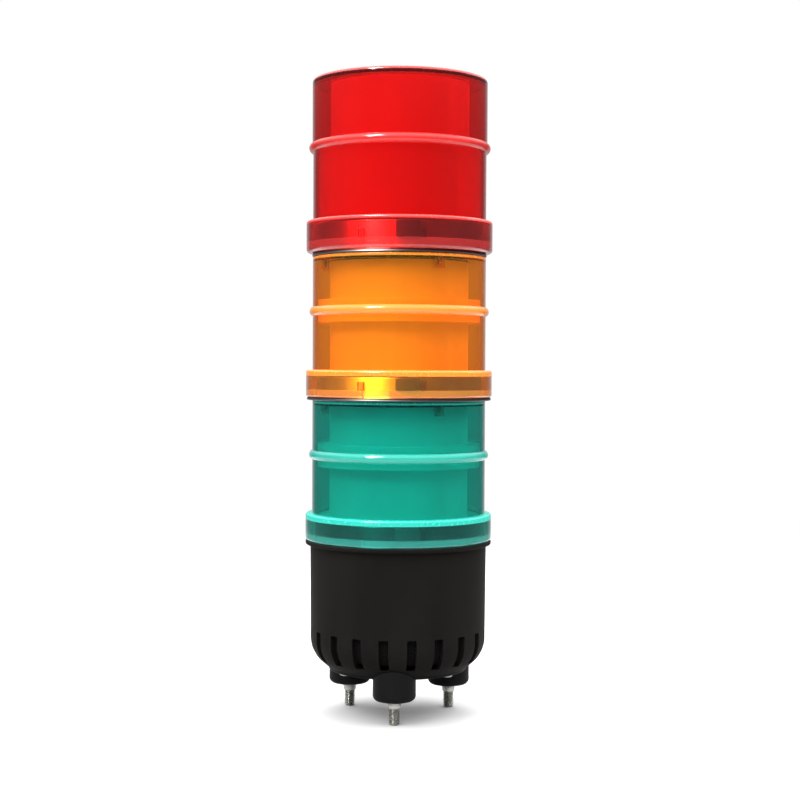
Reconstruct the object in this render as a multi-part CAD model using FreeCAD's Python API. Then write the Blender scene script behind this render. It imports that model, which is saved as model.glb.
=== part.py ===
"""Stack light: a green, an amber and a red tier, twist-locked on a buzzer base that stands on three studs.

Millimetres, +Z up, front towards -Y. The origin is the centre of the stud circle, in the plane where the
studs' shoulders end and their plain shanks begin. Angles called *_TURN are degrees round from the front,
anticlockwise seen from above.
"""

import FreeCAD, Part
import math
import os
from collections import namedtuple

V = FreeCAD.Vector
UP = V(0, 0, 1)
FRONT_DEG = -90.0

# ---- tiers -------------------------------------------------------------------------------------------------
LENS_R = 40.0  # outside of a lens below its bead
LENS_WALL = 2.2
COLLAR_PROUD = 3.0  # how far a collar stands out from the wall of its lens
COLLAR_WALL = 2.0
COLLAR_TOP_EDGE_R = 1.0
BEAD_H = 4.3
BEAD_PROUD = 1.5
FIRST_COLLAR_Z = 73.2  # underside of the lowest collar, above the shoulder plane
TIER_PITCH = 66.0
LENS_TOP_WALL = 2.3
LENS_TOP_EDGE_R = 0.8

MODULE_COLLAR_H = 12.2
MODULE_COLLAR_LOW_EDGE_R = 0.9
MODULE_LIP_H = 3.2
MODULE_LEDGE = 2.4
MODULE_BEAD_Z = 39.2  # middle of the bead above the collar's underside

CAP_COLLAR_H = 14.6
CAP_COLLAR_LOW_EDGE_R = 1.8
CAP_LIP_H = 4.6
CAP_LEDGE = 1.3
CAP_BEAD_Z = 48.3
CAP_UPPER_PROUD = 0.4  # how much wider the closed lens is above its bead
CAP_RIM_Z = 79.6  # outer edge of the crown above the collar's underside
CAP_RIM_R = 1.5
CROWN_H = 2.0

# ---- bayonet and neck rings --------------------------------------------------------------------------------
NECK_WALL = 1.6
NECK_FLANGE_T = 1.0
NECK_EDGE_R = 0.5
NECK_TOP_GAP = 0.5
GREEN_FLANGE_PROUD = 2.6  # how far the neck ring's flange stands out from the lens under it
AMBER_FLANGE_PROUD = 0.3
LUG_PROUD = 2.15
LUG_W = 10.8
LUG_TURN = 5.5
LUG_TOP_DROP = 0.6
LUG_COUNT = 3
TWIST_DEG = 20.0
STOP_W = 2.5
STOP_H = 4.0
RUN_GAP = 0.35  # between pieces that turn past each other
SEAT_GAP = 0.2  # between a collar and the gasket under it
GASKET_T = 0.4
DECK_T = 1.6
DECK_DROP = 2.0
WIRE_HOLE_R = 5.0

# ---- contacts ----------------------------------------------------------------------------------------------
CONTACT_COUNT = 4
CONTACT_TURN = 12.0
CONTACT_INSET = 6.4  # from the opening in a tier's top to the circle of contacts
PIN_R = 1.2
PIN_TIP_EDGE_R = 0.95
PAD_W = 4.0
PAD_T = 0.4
PAD_END_DEG = 5.0
PAD_LEG_R = 1.0
PIN_GAP = 0.3
BAR_W = 2.4
BAR_T = 0.8

# ---- lamp units --------------------------------------------------------------------------------------------
DIFFUSER_GAP = 0.4  # between a diffuser and the screw bosses round it
DIFFUSER_WALL = 1.2
BAND_H = 10.2  # wide band round the diffuser, level with the bead
FIT_GAP = 0.3  # between pieces that are seated but not fixed to each other
CARRIER_T = 1.8
CARRIER_RIB_H = 2.0
CARRIER_RIB_T = 1.5
POST_IN_R = 9.0
POST_BORE_R = 3.5
POST_TOP_GAP = 6.0
LED_BOARD_W = 22.0
LED_BOARD_T = 1.6
LED_BOARD_END_GAP = 1.5
LED_SIZE = 5.0
LED_T = 1.4
LED_DOME_R = 1.9
LED_DOME_T = 0.4
LED_COLUMN_PITCH = 11.0
LED_ROWS = 4

# ---- base --------------------------------------------------------------------------------------------------
HOUSING_PROUD = 0.75  # how far its wall stands out from that of a lens
HOUSING_DRAFT = 0.4  # how much narrower it is at the start of the turned-in edge
HOUSING_WALL = 2.4
HOUSING_FLANGE_T = 1.6
HOUSING_FLANGE_EDGE_R = 0.75
RIM_W = 2.5  # of the ledge under the neck ring
RIM_T = 2.4
SKIRT_TURN_DEG = 50.0  # how far the lower edge turns in from the vertical
SKIRT_R = 14.0
FOOT_INSET = 8.2  # how far the housing's bottom end is inside its wall
SLOT_COUNT = 20
SLOT_W = 4.3
SLOT_H = 14.0
SLOT_LOW_Z = 18.2
SLOT_END_R = 0.6
SCREEN_T = 0.8  # mesh that lines the wall behind the vent slots
SCREEN_TOP_LAP = 3.0
NECK_BOSS_R = 3.0
NECK_BOSS_H = 10.0
EAR_TIP = 2.8  # from a cover screw to the ear's inner end
EAR_W = 7.0
EAR_T = 4.0
EAR_BITE = 0.3  # how far an ear runs into the housing's wall

# ---- bottom cover, studs and cable bushing -----------------------------------------------------------------
SHOULDER_H = 3.2
SHOULDER_TOP_R = 4.25
SHOULDER_LOW_R = 3.0
SHOULDER_FLARE_Z = 1.3  # where the shoulder begins to widen
STUD_R = 2.5
STUD_REACH = 7.8
STUD_HEAD_H = 6.0
STUD_TIP_CHAMFER = 0.5
STUD_HOLE_GAP = 0.05
STUD_CIRCLE_R = 27.0
STUD_TURN = -3.0
STUD_NAMES = ("front", "right", "left")
BOSS_R = 9.7
BOSS_H = 10.0
BOSS_EDGE_R = 2.6
PLATE_INSET = 0.15  # of the plate from the outside of the housing's bottom end
PLATE_RIM_H = 1.1
PLATE_EDGE_R = 0.55
SPIGOT_H = 2.0
BUSHING_BORE_R = 3.6
BUSHING_WAIST_R = 6.0
BUSHING_FLANGE_R = 8.0
BUSHING_FLANGE_T = 1.5
BUSHING_EDGE_R = 0.6

# ---- electronics in the base -------------------------------------------------------------------------------
BOARD_GAP = 0.75  # between the control board and the housing's bottom opening
BOARD_T = 1.6
BOARD_NOTCH_GAP = 0.5
CABLE_HOLE_R = 4.0
CABLE_HOLE_GAP = 0.2  # between the cable hole and the buzzer
BOARD_POST_R = 3.5
BOARD_POST_H = 30.9
BOARD_POST_GAP = 1.1  # between the buzzer and the post nearest to it
BUZZER_R = 13.8
BUZZER_H = 17.0
BUZZER_WALL = 1.2
BUZZER_EDGE_R = 0.7
BUZZER_Y = 6.0
BUZZER_DISC_T = 0.4
BUZZER_SEAT_W = 1.2
SOUND_HOLE_R = 1.3
SOUND_HOLE_CIRCLE_R = 6.0
SOUND_HOLE_COUNT = 6
TERMINAL_L = 26.0
TERMINAL_W = 9.0
TERMINAL_H = 11.0
TERMINAL_Y = 14.0
TERMINAL_WAYS = 5
TERMINAL_PITCH = 5.0
MOUTH_W = 3.0
MOUTH_H = 3.9
MOUTH_LIFT = 1.6
WELL_R = 1.8
WELL_DEPTH = 3.3
CAPACITOR_R = 5.0
CAPACITOR_H = 16.0
CAPACITOR_EDGE_R = 0.75
CAPACITOR_AT = (-14.0, -4.0)
CHIP_SIZE = (10.0, 6.0, 2.4)
CHIP_AT = (3.0, 1.0)
REGULATOR_SIZE = (4.6, 10.0, 9.0)
REGULATOR_AT = (14.0, -6.0)
RESISTOR_SIZE = (1.6, 3.2, 0.8)
RESISTOR_COUNT = 4
RESISTOR_PITCH = 3.0
RESISTOR_ROW_AT = (1.5, -5.5)

# ---- screws ------------------------------------------------------------------------------------------------
Screw = namedtuple("Screw", "shank_r length head_r head_h")
NECK_SCREW = Screw(1.25, 6.0, 2.2, 1.6)
BOARD_SCREW = Screw(1.4, 7.0, 2.7, 1.8)
COVER_SCREW = Screw(1.4, 7.5, 2.7, 1.8)
NECK_SCREW_INSET = 3.3  # from the inside of a lens's wall to the circle of neck screws
NECK_SCREW_TURN = 31.0
NECK_SCREW_BOSS_R = 2.1
NECK_SCREW_BOSS_H = 4.2
COVER_SCREW_INSET = 2.65  # from the spigot's outside to the circle of cover screws
SCREW_CLEARANCE = 0.3
THREAD_CLEARANCE = 0.05
SCREW_END_GAP = 0.4
DRIVE_W = 0.7
DRIVE_DEPTH = 0.6
DRIVE_SPAN = 1.2  # length of a recess arm pair, in head radii
OVERRUN = 1.0  # how far a cut starts outside the face it goes through

# ---- sizes, levels and places that follow from the ones above ----------------------------------------------
LENS_IN_R = LENS_R - LENS_WALL
CAP_UPPER_R = LENS_R + CAP_UPPER_PROUD
COLLAR_R = LENS_R + COLLAR_PROUD
COLLAR_IN_R = COLLAR_R - COLLAR_WALL
LUG_R = COLLAR_IN_R - RUN_GAP
NECK_R = LUG_R - LUG_PROUD
LIP_R = NECK_R + RUN_GAP
NECK_SCREW_CIRCLE_R = LENS_IN_R - NECK_SCREW_INSET
NECK_FOOT_IN_R = NECK_SCREW_CIRCLE_R - NECK_SCREW_BOSS_R
DIFFUSER_R = NECK_FOOT_IN_R - DIFFUSER_GAP
CONTACT_R = NECK_FOOT_IN_R - CONTACT_INSET

HOUSING_TOP_R = LENS_R + HOUSING_PROUD
HOUSING_LOW_R = HOUSING_TOP_R - HOUSING_DRAFT
HOUSING_FLANGE_R = COLLAR_R
RIM_IN_R = NECK_R - RIM_W
FOOT_R = HOUSING_LOW_R - FOOT_INSET
PLATE_R = FOOT_R - PLATE_INSET
SPIGOT_R = FOOT_R - HOUSING_WALL - FIT_GAP
COVER_SCREW_CIRCLE_R = SPIGOT_R - COVER_SCREW_INSET
EAR_IN_R = COVER_SCREW_CIRCLE_R - EAR_TIP
BOARD_R = FOOT_R - HOUSING_WALL - BOARD_GAP

SEAT_DROP = GASKET_T + SEAT_GAP
NECK_FOOT_DROP = SEAT_DROP + NECK_FLANGE_T
PLATE_Z = SHOULDER_H + BOSS_H
HOUSING_LOW_Z = PLATE_Z + PLATE_RIM_H
SPIGOT_TOP_Z = HOUSING_LOW_Z + SPIGOT_H
BOARD_Z = SPIGOT_TOP_Z + BOARD_POST_H
CABLE_HOLE_Y = BUZZER_Y - BUZZER_R - CABLE_HOLE_GAP - CABLE_HOLE_R
STUD_TURNS = [STUD_TURN + 120.0 * i for i in range(3)]
BACK_POST_ANGLE = math.radians(FRONT_DEG + STUD_TURNS[2])
BOARD_POST_CIRCLE_R = BUZZER_Y * math.sin(BACK_POST_ANGLE) + math.sqrt(
    (BUZZER_R + BOARD_POST_R + BOARD_POST_GAP) ** 2 - (BUZZER_Y * math.cos(BACK_POST_ANGLE)) ** 2)
COVER_SCREW_TURNS = [STUD_TURN + 60.0 + 120.0 * i for i in range(3)]
NECK_SCREW_TURNS = [NECK_SCREW_TURN + 120.0 * i for i in range(3)]
LUG_TURNS = [LUG_TURN + 360.0 / LUG_COUNT * i for i in range(LUG_COUNT)]
CONTACT_TURNS = [CONTACT_TURN + 360.0 / CONTACT_COUNT * i for i in range(CONTACT_COUNT)]

# One entry a tier: its name, its collar's underside, the sizes of its moulding and the radius of the flange
# on its own neck ring. The closed tier has no neck ring.
Tier = namedtuple("Tier", "name z collar_h low_edge_r lip_h ledge bead_z flange_r")
GREEN = Tier("green", FIRST_COLLAR_Z, MODULE_COLLAR_H, MODULE_COLLAR_LOW_EDGE_R, MODULE_LIP_H, MODULE_LEDGE,
             MODULE_BEAD_Z, LENS_R + GREEN_FLANGE_PROUD)
AMBER = Tier("amber", FIRST_COLLAR_Z + TIER_PITCH, MODULE_COLLAR_H, MODULE_COLLAR_LOW_EDGE_R, MODULE_LIP_H,
             MODULE_LEDGE, MODULE_BEAD_Z, LENS_R + AMBER_FLANGE_PROUD)
RED = Tier("red", FIRST_COLLAR_Z + 2 * TIER_PITCH, CAP_COLLAR_H, CAP_COLLAR_LOW_EDGE_R, CAP_LIP_H, CAP_LEDGE,
           CAP_BEAD_Z, None)
TIERS = (GREEN, AMBER, RED)


# ---- shape helpers -----------------------------------------------------------------------------------------
def direction(a, b):
    """Unit vector from a to b."""
    return (b - a) / (b - a).Length


def outline_edges(points):
    """Edges of a closed outline in the XZ plane. A point is (r, z), (r, z, corner radius), or ("via", r, z):
    the edge from the point before it to the point after it is then an arc through it."""
    corners = [p for p in points if p[0] != "via"]
    vias = {}
    for i, p in enumerate(points):
        if p[0] == "via":
            vias[corners.index(points[i - 1])] = V(p[1], 0, p[2])
    at = [V(p[0], 0, p[1]) for p in corners]
    count = len(at)
    begins, ends, arcs = [None] * count, [None] * count, []
    for i, p in enumerate(corners):
        begins[i] = ends[i] = at[i]
        if len(p) == 3 and p[2] > 0:
            back, on = direction(at[i], at[i - 1]), direction(at[i], at[(i + 1) % count])
            half = back.getAngle(on) / 2
            bisector = (back + on) / (back + on).Length
            centre = at[i] + bisector * (p[2] / math.sin(half))
            begins[i] = at[i] + back * (p[2] / math.tan(half))
            ends[i] = at[i] + on * (p[2] / math.tan(half))
            arcs.append(Part.Arc(begins[i], centre - bisector * p[2], ends[i]).toShape())
    edges = list(arcs)
    for i in range(count):
        start, end = ends[i], begins[(i + 1) % count]
        if i in vias:
            edges.append(Part.Arc(start, vias[i], end).toShape())
        elif (end - start).Length > 1e-6:
            edges.append(Part.LineSegment(start, end).toShape())
    return edges


def turned(points):
    """Solid of revolution about Z from a closed outline of (r, z) points."""
    wire = Part.Wire(Part.__sortEdges__(outline_edges(points)))
    return Part.Face(wire).revolve(V(), UP, 360).Solids[0]


def disc(r, low, high, x=0.0, y=0.0):
    return Part.makeCylinder(r, high - low, V(x, y, low))


def ring(r_in, r_out, low, high):
    return turned([(r_in, low), (r_out, low), (r_out, high), (r_in, high)])


def place(radius, turn):
    """X and Y of a place on a circle, with turn counted from the front."""
    a = math.radians(FRONT_DEG + turn)
    return radius * math.cos(a), radius * math.sin(a)


def rounds(circle_r, turns, r, low, high):
    """Upright cylinders on a circle."""
    return [disc(r, low, high, *place(circle_r, t)) for t in turns]


def turned_to(shape, turn):
    """A copy of a shape made along +X, turned about Z to face that turn from the front."""
    return shape.rotated(V(), UP, FRONT_DEG + turn)


def sector(r_in, r_out, low, high, turn_a, turn_b):
    """Part of a ring, from turn_a to turn_b."""
    span = turn_b - turn_a
    slice_out = Part.makeCylinder(r_out, high - low, V(0, 0, low), UP, span)
    slice_in = Part.makeCylinder(r_in, high - low, V(0, 0, low), UP, 360)
    return turned_to(slice_out.cut(slice_in), turn_a)


def block(length, width, height, x, y, z):
    """Box centred on x and y, with its underside at z."""
    return Part.makeBox(length, width, height, V(x - length / 2, y - width / 2, z))


def joined(first, *others):
    """One moulding from shapes that meet."""
    shape = first.fuse(list(others)).removeSplitter()
    assert len(shape.Solids) == 1, "pieces of one moulding don't meet"
    return shape.Solids[0]


def less(shape, *cuts):
    """A moulding with its holes and recesses."""
    shape = shape.cut(list(cuts))
    assert len(shape.Solids) == 1, "a cut has parted a moulding"
    return shape.Solids[0]


def deg(arc_length, radius):
    """Angle that a length takes up round a circle."""
    return math.degrees(arc_length / radius)


def write(node, *solids):
    for solid in solids:
        assert solid.isValid() and solid.Volume > 0, f"{node} is not a sound solid"
    shape = solids[0] if len(solids) == 1 else Part.makeCompound(list(solids))
    shape.exportStep(f"parts/{node}.step")


# ---- fasteners ---------------------------------------------------------------------------------------------
def screw(kind, seat_z, x, y, down=True):
    """Pan-head screw with a cross recess. Its head stands on seat_z and its shank points down, or up."""
    body = joined(
        turned([(0, 0), (kind.head_r, 0), (kind.head_r, kind.head_h, kind.head_h / 2), (0, kind.head_h)]),
        disc(kind.shank_r, -kind.length, 0),
    )
    span, recess = kind.head_r * DRIVE_SPAN, kind.head_h - DRIVE_DEPTH
    body = less(body, block(span, DRIVE_W, kind.head_h, 0, 0, recess),
                block(DRIVE_W, span, kind.head_h, 0, 0, recess))
    if not down:
        body = body.rotated(V(), V(1, 0, 0), 180)
    return body.translated(V(x, y, seat_z))


def screws(kind, circle_r, turns, seat_z, down=True):
    return [screw(kind, seat_z, *place(circle_r, t), down=down) for t in turns]


# ---- neck rings, gaskets and contacts ----------------------------------------------------------------------
def neck_top(above):
    """Top of the neck ring that stands inside the collar of the tier above it."""
    return above.z + above.collar_h - above.ledge - NECK_TOP_GAP


def deck_top(above):
    return neck_top(above) - DECK_DROP


def neck(above, flange_r):
    """Black ring with bayonet lugs, a foot for its screws and a deck that carries the contacts. Where flange_r
    is larger than the ring, the foot also has an outer flange."""
    foot = above.z - NECK_FOOT_DROP
    flange_top = foot + NECK_FLANGE_T
    inside = NECK_R - NECK_WALL
    deck = deck_top(above)
    top = neck_top(above)
    flange = [(NECK_R, foot)]
    if flange_r > NECK_R:
        flange = [(flange_r, foot, NECK_FLANGE_T / 2), (flange_r, flange_top), (NECK_R, flange_top)]
    body = turned([(NECK_FOOT_IN_R, foot)] + flange + [
        (NECK_R, top, NECK_EDGE_R), (inside, top), (inside, deck), (WIRE_HOLE_R, deck),
        (WIRE_HOLE_R, deck - DECK_T), (inside, deck - DECK_T), (inside, flange_top), (NECK_FOOT_IN_R, flange_top),
    ])
    half = deg(LUG_W, LUG_R) / 2
    lugs = [sector(NECK_R - NECK_WALL / 2, LUG_R, above.z + above.lip_h + RUN_GAP, top - LUG_TOP_DROP,
                   t - half, t + half) for t in LUG_TURNS]
    holes = rounds(NECK_SCREW_CIRCLE_R, NECK_SCREW_TURNS, NECK_SCREW.shank_r + SCREW_CLEARANCE, foot,
                   flange_top)
    access_in = NECK_SCREW_CIRCLE_R - NECK_SCREW.head_r - SCREW_CLEARANCE
    access_half = deg(NECK_SCREW.head_r + SCREW_CLEARANCE, access_in)
    holes += [sector(access_in, inside, deck - DECK_T, deck, t - access_half, t + access_half)
              for t in NECK_SCREW_TURNS]
    holes += rounds(CONTACT_R, CONTACT_TURNS, PAD_LEG_R + THREAD_CLEARANCE, deck - DECK_T, deck)
    return less(joined(body, *lugs), *holes)


def gasket(above, outer_r):
    return ring(LIP_R, outer_r, above.z - SEAT_DROP, above.z - SEAT_GAP)


def contact_pads(above):
    """Brass arcs on the deck, long enough to stay under their pins while the tier turns."""
    deck = deck_top(above)
    pads = []
    for t in CONTACT_TURNS:
        plate = sector(CONTACT_R - PAD_W / 2, CONTACT_R + PAD_W / 2, deck, deck + PAD_T,
                       t - PAD_END_DEG, t + TWIST_DEG + PAD_END_DEG)
        leg = disc(PAD_LEG_R, deck - DECK_T, deck, *place(CONTACT_R, t))
        pads.append(joined(plate, leg))
    return pads


def bus_bars(low, high):
    """Brass strips from one level to another, in line with the contacts."""
    return [turned_to(block(BAR_T, BAR_W, high - low, CONTACT_R, 0, low), t) for t in CONTACT_TURNS]


# ---- lenses ------------------------------------------------------------------------------------------------
def bead(z, r_low, r_high):
    """Half-round bead between the wall below it and the wall above it."""
    return [(r_low, z - BEAD_H / 2), ("via", max(r_low, r_high) + BEAD_PROUD, z), (r_high, z + BEAD_H / 2)]


def collar_outline(tier):
    """Outline from the lens's inner wall down round the collar and back to its outer wall."""
    ledge_z = tier.z + tier.collar_h - tier.ledge
    return [
        (LENS_IN_R, ledge_z), (COLLAR_IN_R, ledge_z), (COLLAR_IN_R, tier.z + tier.lip_h),
        (LIP_R, tier.z + tier.lip_h), (LIP_R, tier.z), (COLLAR_R, tier.z, tier.low_edge_r),
        (COLLAR_R, tier.z + tier.collar_h, COLLAR_TOP_EDGE_R), (LENS_R, tier.z + tier.collar_h),
    ]


def bayonet(lens, tier):
    """Cuts the lip's notches and adds the stops that bound the turn."""
    half_lug = deg(LUG_W, LUG_R) / 2
    half_notch = half_lug + deg(2 * RUN_GAP, COLLAR_IN_R)
    gap, stop = deg(RUN_GAP, COLLAR_IN_R), deg(STOP_W, COLLAR_IN_R)
    notches, stops = [], []
    for t in LUG_TURNS:
        unlocked = t - TWIST_DEG
        notches.append(sector(LIP_R - OVERRUN, COLLAR_IN_R, tier.z - OVERRUN, tier.z + tier.lip_h,
                              unlocked - half_notch, unlocked + half_notch))
        for a in (t + half_lug + gap, unlocked - half_lug - gap - stop):
            stops.append(sector(LIP_R, COLLAR_IN_R + COLLAR_WALL / 2, tier.z + tier.lip_h,
                                tier.z + tier.lip_h + STOP_H, a, a + stop))
    return joined(less(lens, *notches), *stops)


def lens_top_z(tier):
    """Top face of an open lens, where its neck ring stands."""
    return tier.z + TIER_PITCH - NECK_FOOT_DROP


def open_lens(tier):
    """Tinted moulding of a tier that carries another: wall, bead, collar, top wall and screw bosses."""
    top = lens_top_z(tier)
    under = top - LENS_TOP_WALL
    body = turned(collar_outline(tier) + bead(tier.z + tier.bead_z, LENS_R, LENS_R) + [
        (LENS_R, top, LENS_TOP_EDGE_R), (NECK_FOOT_IN_R, top), (NECK_FOOT_IN_R, under), (LENS_IN_R, under),
    ])
    bosses = rounds(NECK_SCREW_CIRCLE_R, NECK_SCREW_TURNS, NECK_SCREW_BOSS_R, under - NECK_SCREW_BOSS_H, under)
    pilots = rounds(NECK_SCREW_CIRCLE_R, NECK_SCREW_TURNS, NECK_SCREW.shank_r + THREAD_CLEARANCE,
                    top - (NECK_SCREW.length - NECK_FLANGE_T) - SCREW_END_GAP, top)
    return bayonet(less(joined(body, *bosses), *pilots), tier)


def closed_lens(tier):
    """Tinted moulding of the top tier, closed by a low crown."""
    rim = tier.z + CAP_RIM_Z
    wall_in = CAP_UPPER_R - LENS_WALL
    bead_top = tier.z + tier.bead_z + BEAD_H / 2
    body = turned(collar_outline(tier) + bead(tier.z + tier.bead_z, LENS_R, CAP_UPPER_R) + [
        (CAP_UPPER_R, rim, CAP_RIM_R), (0, rim + CROWN_H), (0, rim + CROWN_H - LENS_WALL),
        (wall_in, rim - LENS_WALL, CAP_RIM_R), (wall_in, bead_top), (LENS_IN_R, bead_top - BEAD_H),
    ])
    return bayonet(body, tier)


# ---- lamp units --------------------------------------------------------------------------------------------
def carrier_z(tier):
    return tier.z + tier.collar_h - tier.ledge


def lamp_top_z(tier):
    """Underside of what closes the lamp space."""
    if tier is RED:
        return tier.z + CAP_RIM_Z - LENS_WALL
    return lens_top_z(tier) - LENS_TOP_WALL


def diffuser(tier):
    """Frosted sleeve round the lamps. It has a wide band level with the lens's bead, except in the top tier,
    where it is wide from its foot to the bead."""
    low, high = carrier_z(tier) + CARRIER_T, lamp_top_z(tier) - FIT_GAP
    bead_z = tier.z + tier.bead_z
    inner = DIFFUSER_R - DIFFUSER_WALL
    wide = LENS_IN_R - FIT_GAP
    wide_in = wide - DIFFUSER_WALL
    if tier is RED:
        return turned([(wide_in, low), (wide, low), (wide, bead_z), (DIFFUSER_R, bead_z), (DIFFUSER_R, high),
                       (inner, high), (inner, bead_z - DIFFUSER_WALL), (wide_in, bead_z - DIFFUSER_WALL)])
    band_low, band_high = bead_z - BAND_H / 2, bead_z + BAND_H / 2
    return turned([
        (inner, low), (DIFFUSER_R, low), (DIFFUSER_R, band_low), (wide, band_low), (wide, band_high),
        (DIFFUSER_R, band_high), (DIFFUSER_R, high), (inner, high), (inner, band_high - DIFFUSER_WALL),
        (wide_in, band_high - DIFFUSER_WALL), (wide_in, band_low + DIFFUSER_WALL),
        (inner, band_low + DIFFUSER_WALL),
    ])


def carrier(tier):
    """White plate across the lens's foot, with a three-sided post that holds the lamp boards."""
    low = carrier_z(tier)
    top = low + CARRIER_T
    rib_r = (LENS_IN_R - FIT_GAP if tier is RED else DIFFUSER_R) - DIFFUSER_WALL - FIT_GAP
    corners = [V(*place(2 * POST_IN_R, 180 + 120 * i), 0) for i in range(3)]
    post_high = lamp_top_z(tier) - POST_TOP_GAP
    post = Part.Face(Part.makePolygon(corners + corners[:1])).extrude(V(0, 0, post_high - low))
    post = post.translated(V(0, 0, low))
    plate = joined(disc(LENS_IN_R - FIT_GAP, low, top), post,
                   ring(rib_r - CARRIER_RIB_T, rib_r, low, top + CARRIER_RIB_H))
    return less(plate, disc(POST_BORE_R, low, post_high),
                *rounds(CONTACT_R, CONTACT_TURNS, PIN_R + THREAD_CLEARANCE, low, top))


def led_board_span(tier):
    low = carrier_z(tier) + CARRIER_T + LED_BOARD_END_GAP
    return low, lamp_top_z(tier) - POST_TOP_GAP - LED_BOARD_END_GAP


def led_boards(tier):
    low, high = led_board_span(tier)
    board = block(LED_BOARD_T, LED_BOARD_W, high - low, POST_IN_R + LED_BOARD_T / 2, 0, low)
    return [turned_to(board, 120 * i) for i in range(3)]


def leds(tier):
    """Two columns of LEDs on each lamp board."""
    low, high = led_board_span(tier)
    row_pitch = (high - low) / LED_ROWS
    face = POST_IN_R + LED_BOARD_T
    lamps = []
    for side in range(3):
        for column in (-0.5, 0.5):
            for row in range(LED_ROWS):
                y, z = column * LED_COLUMN_PITCH, low + (row + 0.5) * row_pitch
                body = block(LED_T, LED_SIZE, LED_SIZE, face + LED_T / 2, y, z - LED_SIZE / 2)
                dome = Part.makeCylinder(LED_DOME_R, LED_DOME_T, V(face + LED_T, y, z), V(1, 0, 0))
                lamps.append(turned_to(joined(body, dome), 120 * side))
    return lamps


def contact_pins(tier):
    """Sprung pins through the carrier, with round tips just above the pads of the neck ring below."""
    tip = deck_top(tier) + PAD_T + PIN_GAP
    top = carrier_z(tier) + CARRIER_T
    pin = turned([(0, tip), (PIN_R, tip, PIN_TIP_EDGE_R), (PIN_R, top), (0, top)])
    return [pin.translated(V(*place(CONTACT_R, t), 0)) for t in CONTACT_TURNS]


# ---- base --------------------------------------------------------------------------------------------------
def skirt(inset):
    """Corner points of the housing's wall and lower edge, inset from its outer face."""
    turn = math.radians(SKIRT_TURN_DEG)
    corner_z = HOUSING_LOW_Z + (HOUSING_LOW_R - FOOT_R) / math.tan(turn)
    low_r = HOUSING_LOW_R - inset
    low_z = corner_z + inset * math.tan(turn / 2)
    foot_r = FOOT_R - inset
    foot_z = low_z - (low_r - foot_r) / math.tan(turn)
    return (foot_r, foot_z), (low_r, low_z, SKIRT_R - inset)


def skirt_core(inset):
    """Solid that fills the housing's lower edge up to that inset, from the foot up past the curve."""
    foot, low_corner = skirt(inset)
    high = low_corner[1] + SKIRT_R
    return turned([(0, foot[1]), foot, low_corner, (low_corner[0], high), (0, high)])


def base_housing():
    """Black cup with a rim flange, a turned-in lower edge, vent slots, screw bosses and cover ears."""
    top = GREEN.z - SEAT_DROP
    seat = GREEN.z - NECK_FOOT_DROP
    flange_low = top - HOUSING_FLANGE_T
    foot, low_corner = skirt(0)
    foot_in, low_corner_in = skirt(HOUSING_WALL)
    wall_in = HOUSING_TOP_R - HOUSING_WALL
    recess_r = NECK_R + FIT_GAP
    shell = turned([
        (foot_in[0], HOUSING_LOW_Z), foot, low_corner, (HOUSING_TOP_R, flange_low),
        (HOUSING_FLANGE_R, flange_low, HOUSING_FLANGE_EDGE_R), (HOUSING_FLANGE_R, top), (recess_r, top),
        (recess_r, seat), (RIM_IN_R, seat), (RIM_IN_R, seat - RIM_T),
        (wall_in, seat - RIM_T - (wall_in - RIM_IN_R)), low_corner_in, foot_in,
    ])
    slot = block(HOUSING_TOP_R, SLOT_W, SLOT_H, HOUSING_TOP_R, 0, SLOT_LOW_Z)
    slot = slot.makeFillet(SLOT_END_R, [e for e in slot.Edges if abs(e.tangentAt(0).x) > 0.9])
    slots = [turned_to(slot, 360.0 / SLOT_COUNT * (i + 0.5)) for i in range(SLOT_COUNT)]
    bosses = rounds(NECK_SCREW_CIRCLE_R, NECK_SCREW_TURNS, NECK_BOSS_R, seat - NECK_BOSS_H, seat)
    bridges = [turned_to(block(wall_in - NECK_SCREW_CIRCLE_R + EAR_BITE, NECK_BOSS_R, NECK_BOSS_H,
                               (wall_in + NECK_SCREW_CIRCLE_R + EAR_BITE) / 2, 0, seat - NECK_BOSS_H), t)
               for t in NECK_SCREW_TURNS]
    reach = skirt_core(HOUSING_WALL - EAR_BITE)
    ears = [turned_to(block(HOUSING_TOP_R - EAR_IN_R, EAR_W, EAR_T, (HOUSING_TOP_R + EAR_IN_R) / 2, 0,
                            SPIGOT_TOP_Z), t).common(reach) for t in COVER_SCREW_TURNS]
    pilots = rounds(NECK_SCREW_CIRCLE_R, NECK_SCREW_TURNS, NECK_SCREW.shank_r + THREAD_CLEARANCE,
                    seat - (NECK_SCREW.length - NECK_FLANGE_T) - SCREW_END_GAP, seat)
    pilots += rounds(COVER_SCREW_CIRCLE_R, COVER_SCREW_TURNS, COVER_SCREW.shank_r + THREAD_CLEARANCE,
                     SPIGOT_TOP_Z, SPIGOT_TOP_Z + EAR_T)
    return less(joined(less(shell, *slots), *bosses, *bridges, *ears), *pilots)


def vent_screen():
    """Woven screen that lines the housing's wall behind the vent slots, from the ears up. Its weave is a
    matter of finish."""
    low, high = SPIGOT_TOP_Z + EAR_T, SLOT_LOW_Z + SLOT_H + SCREEN_TOP_LAP
    inside = skirt_core(HOUSING_WALL).cut(skirt_core(HOUSING_WALL + SCREEN_T))
    return inside.common(ring(COVER_SCREW_CIRCLE_R, HOUSING_TOP_R, low, high))


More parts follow.
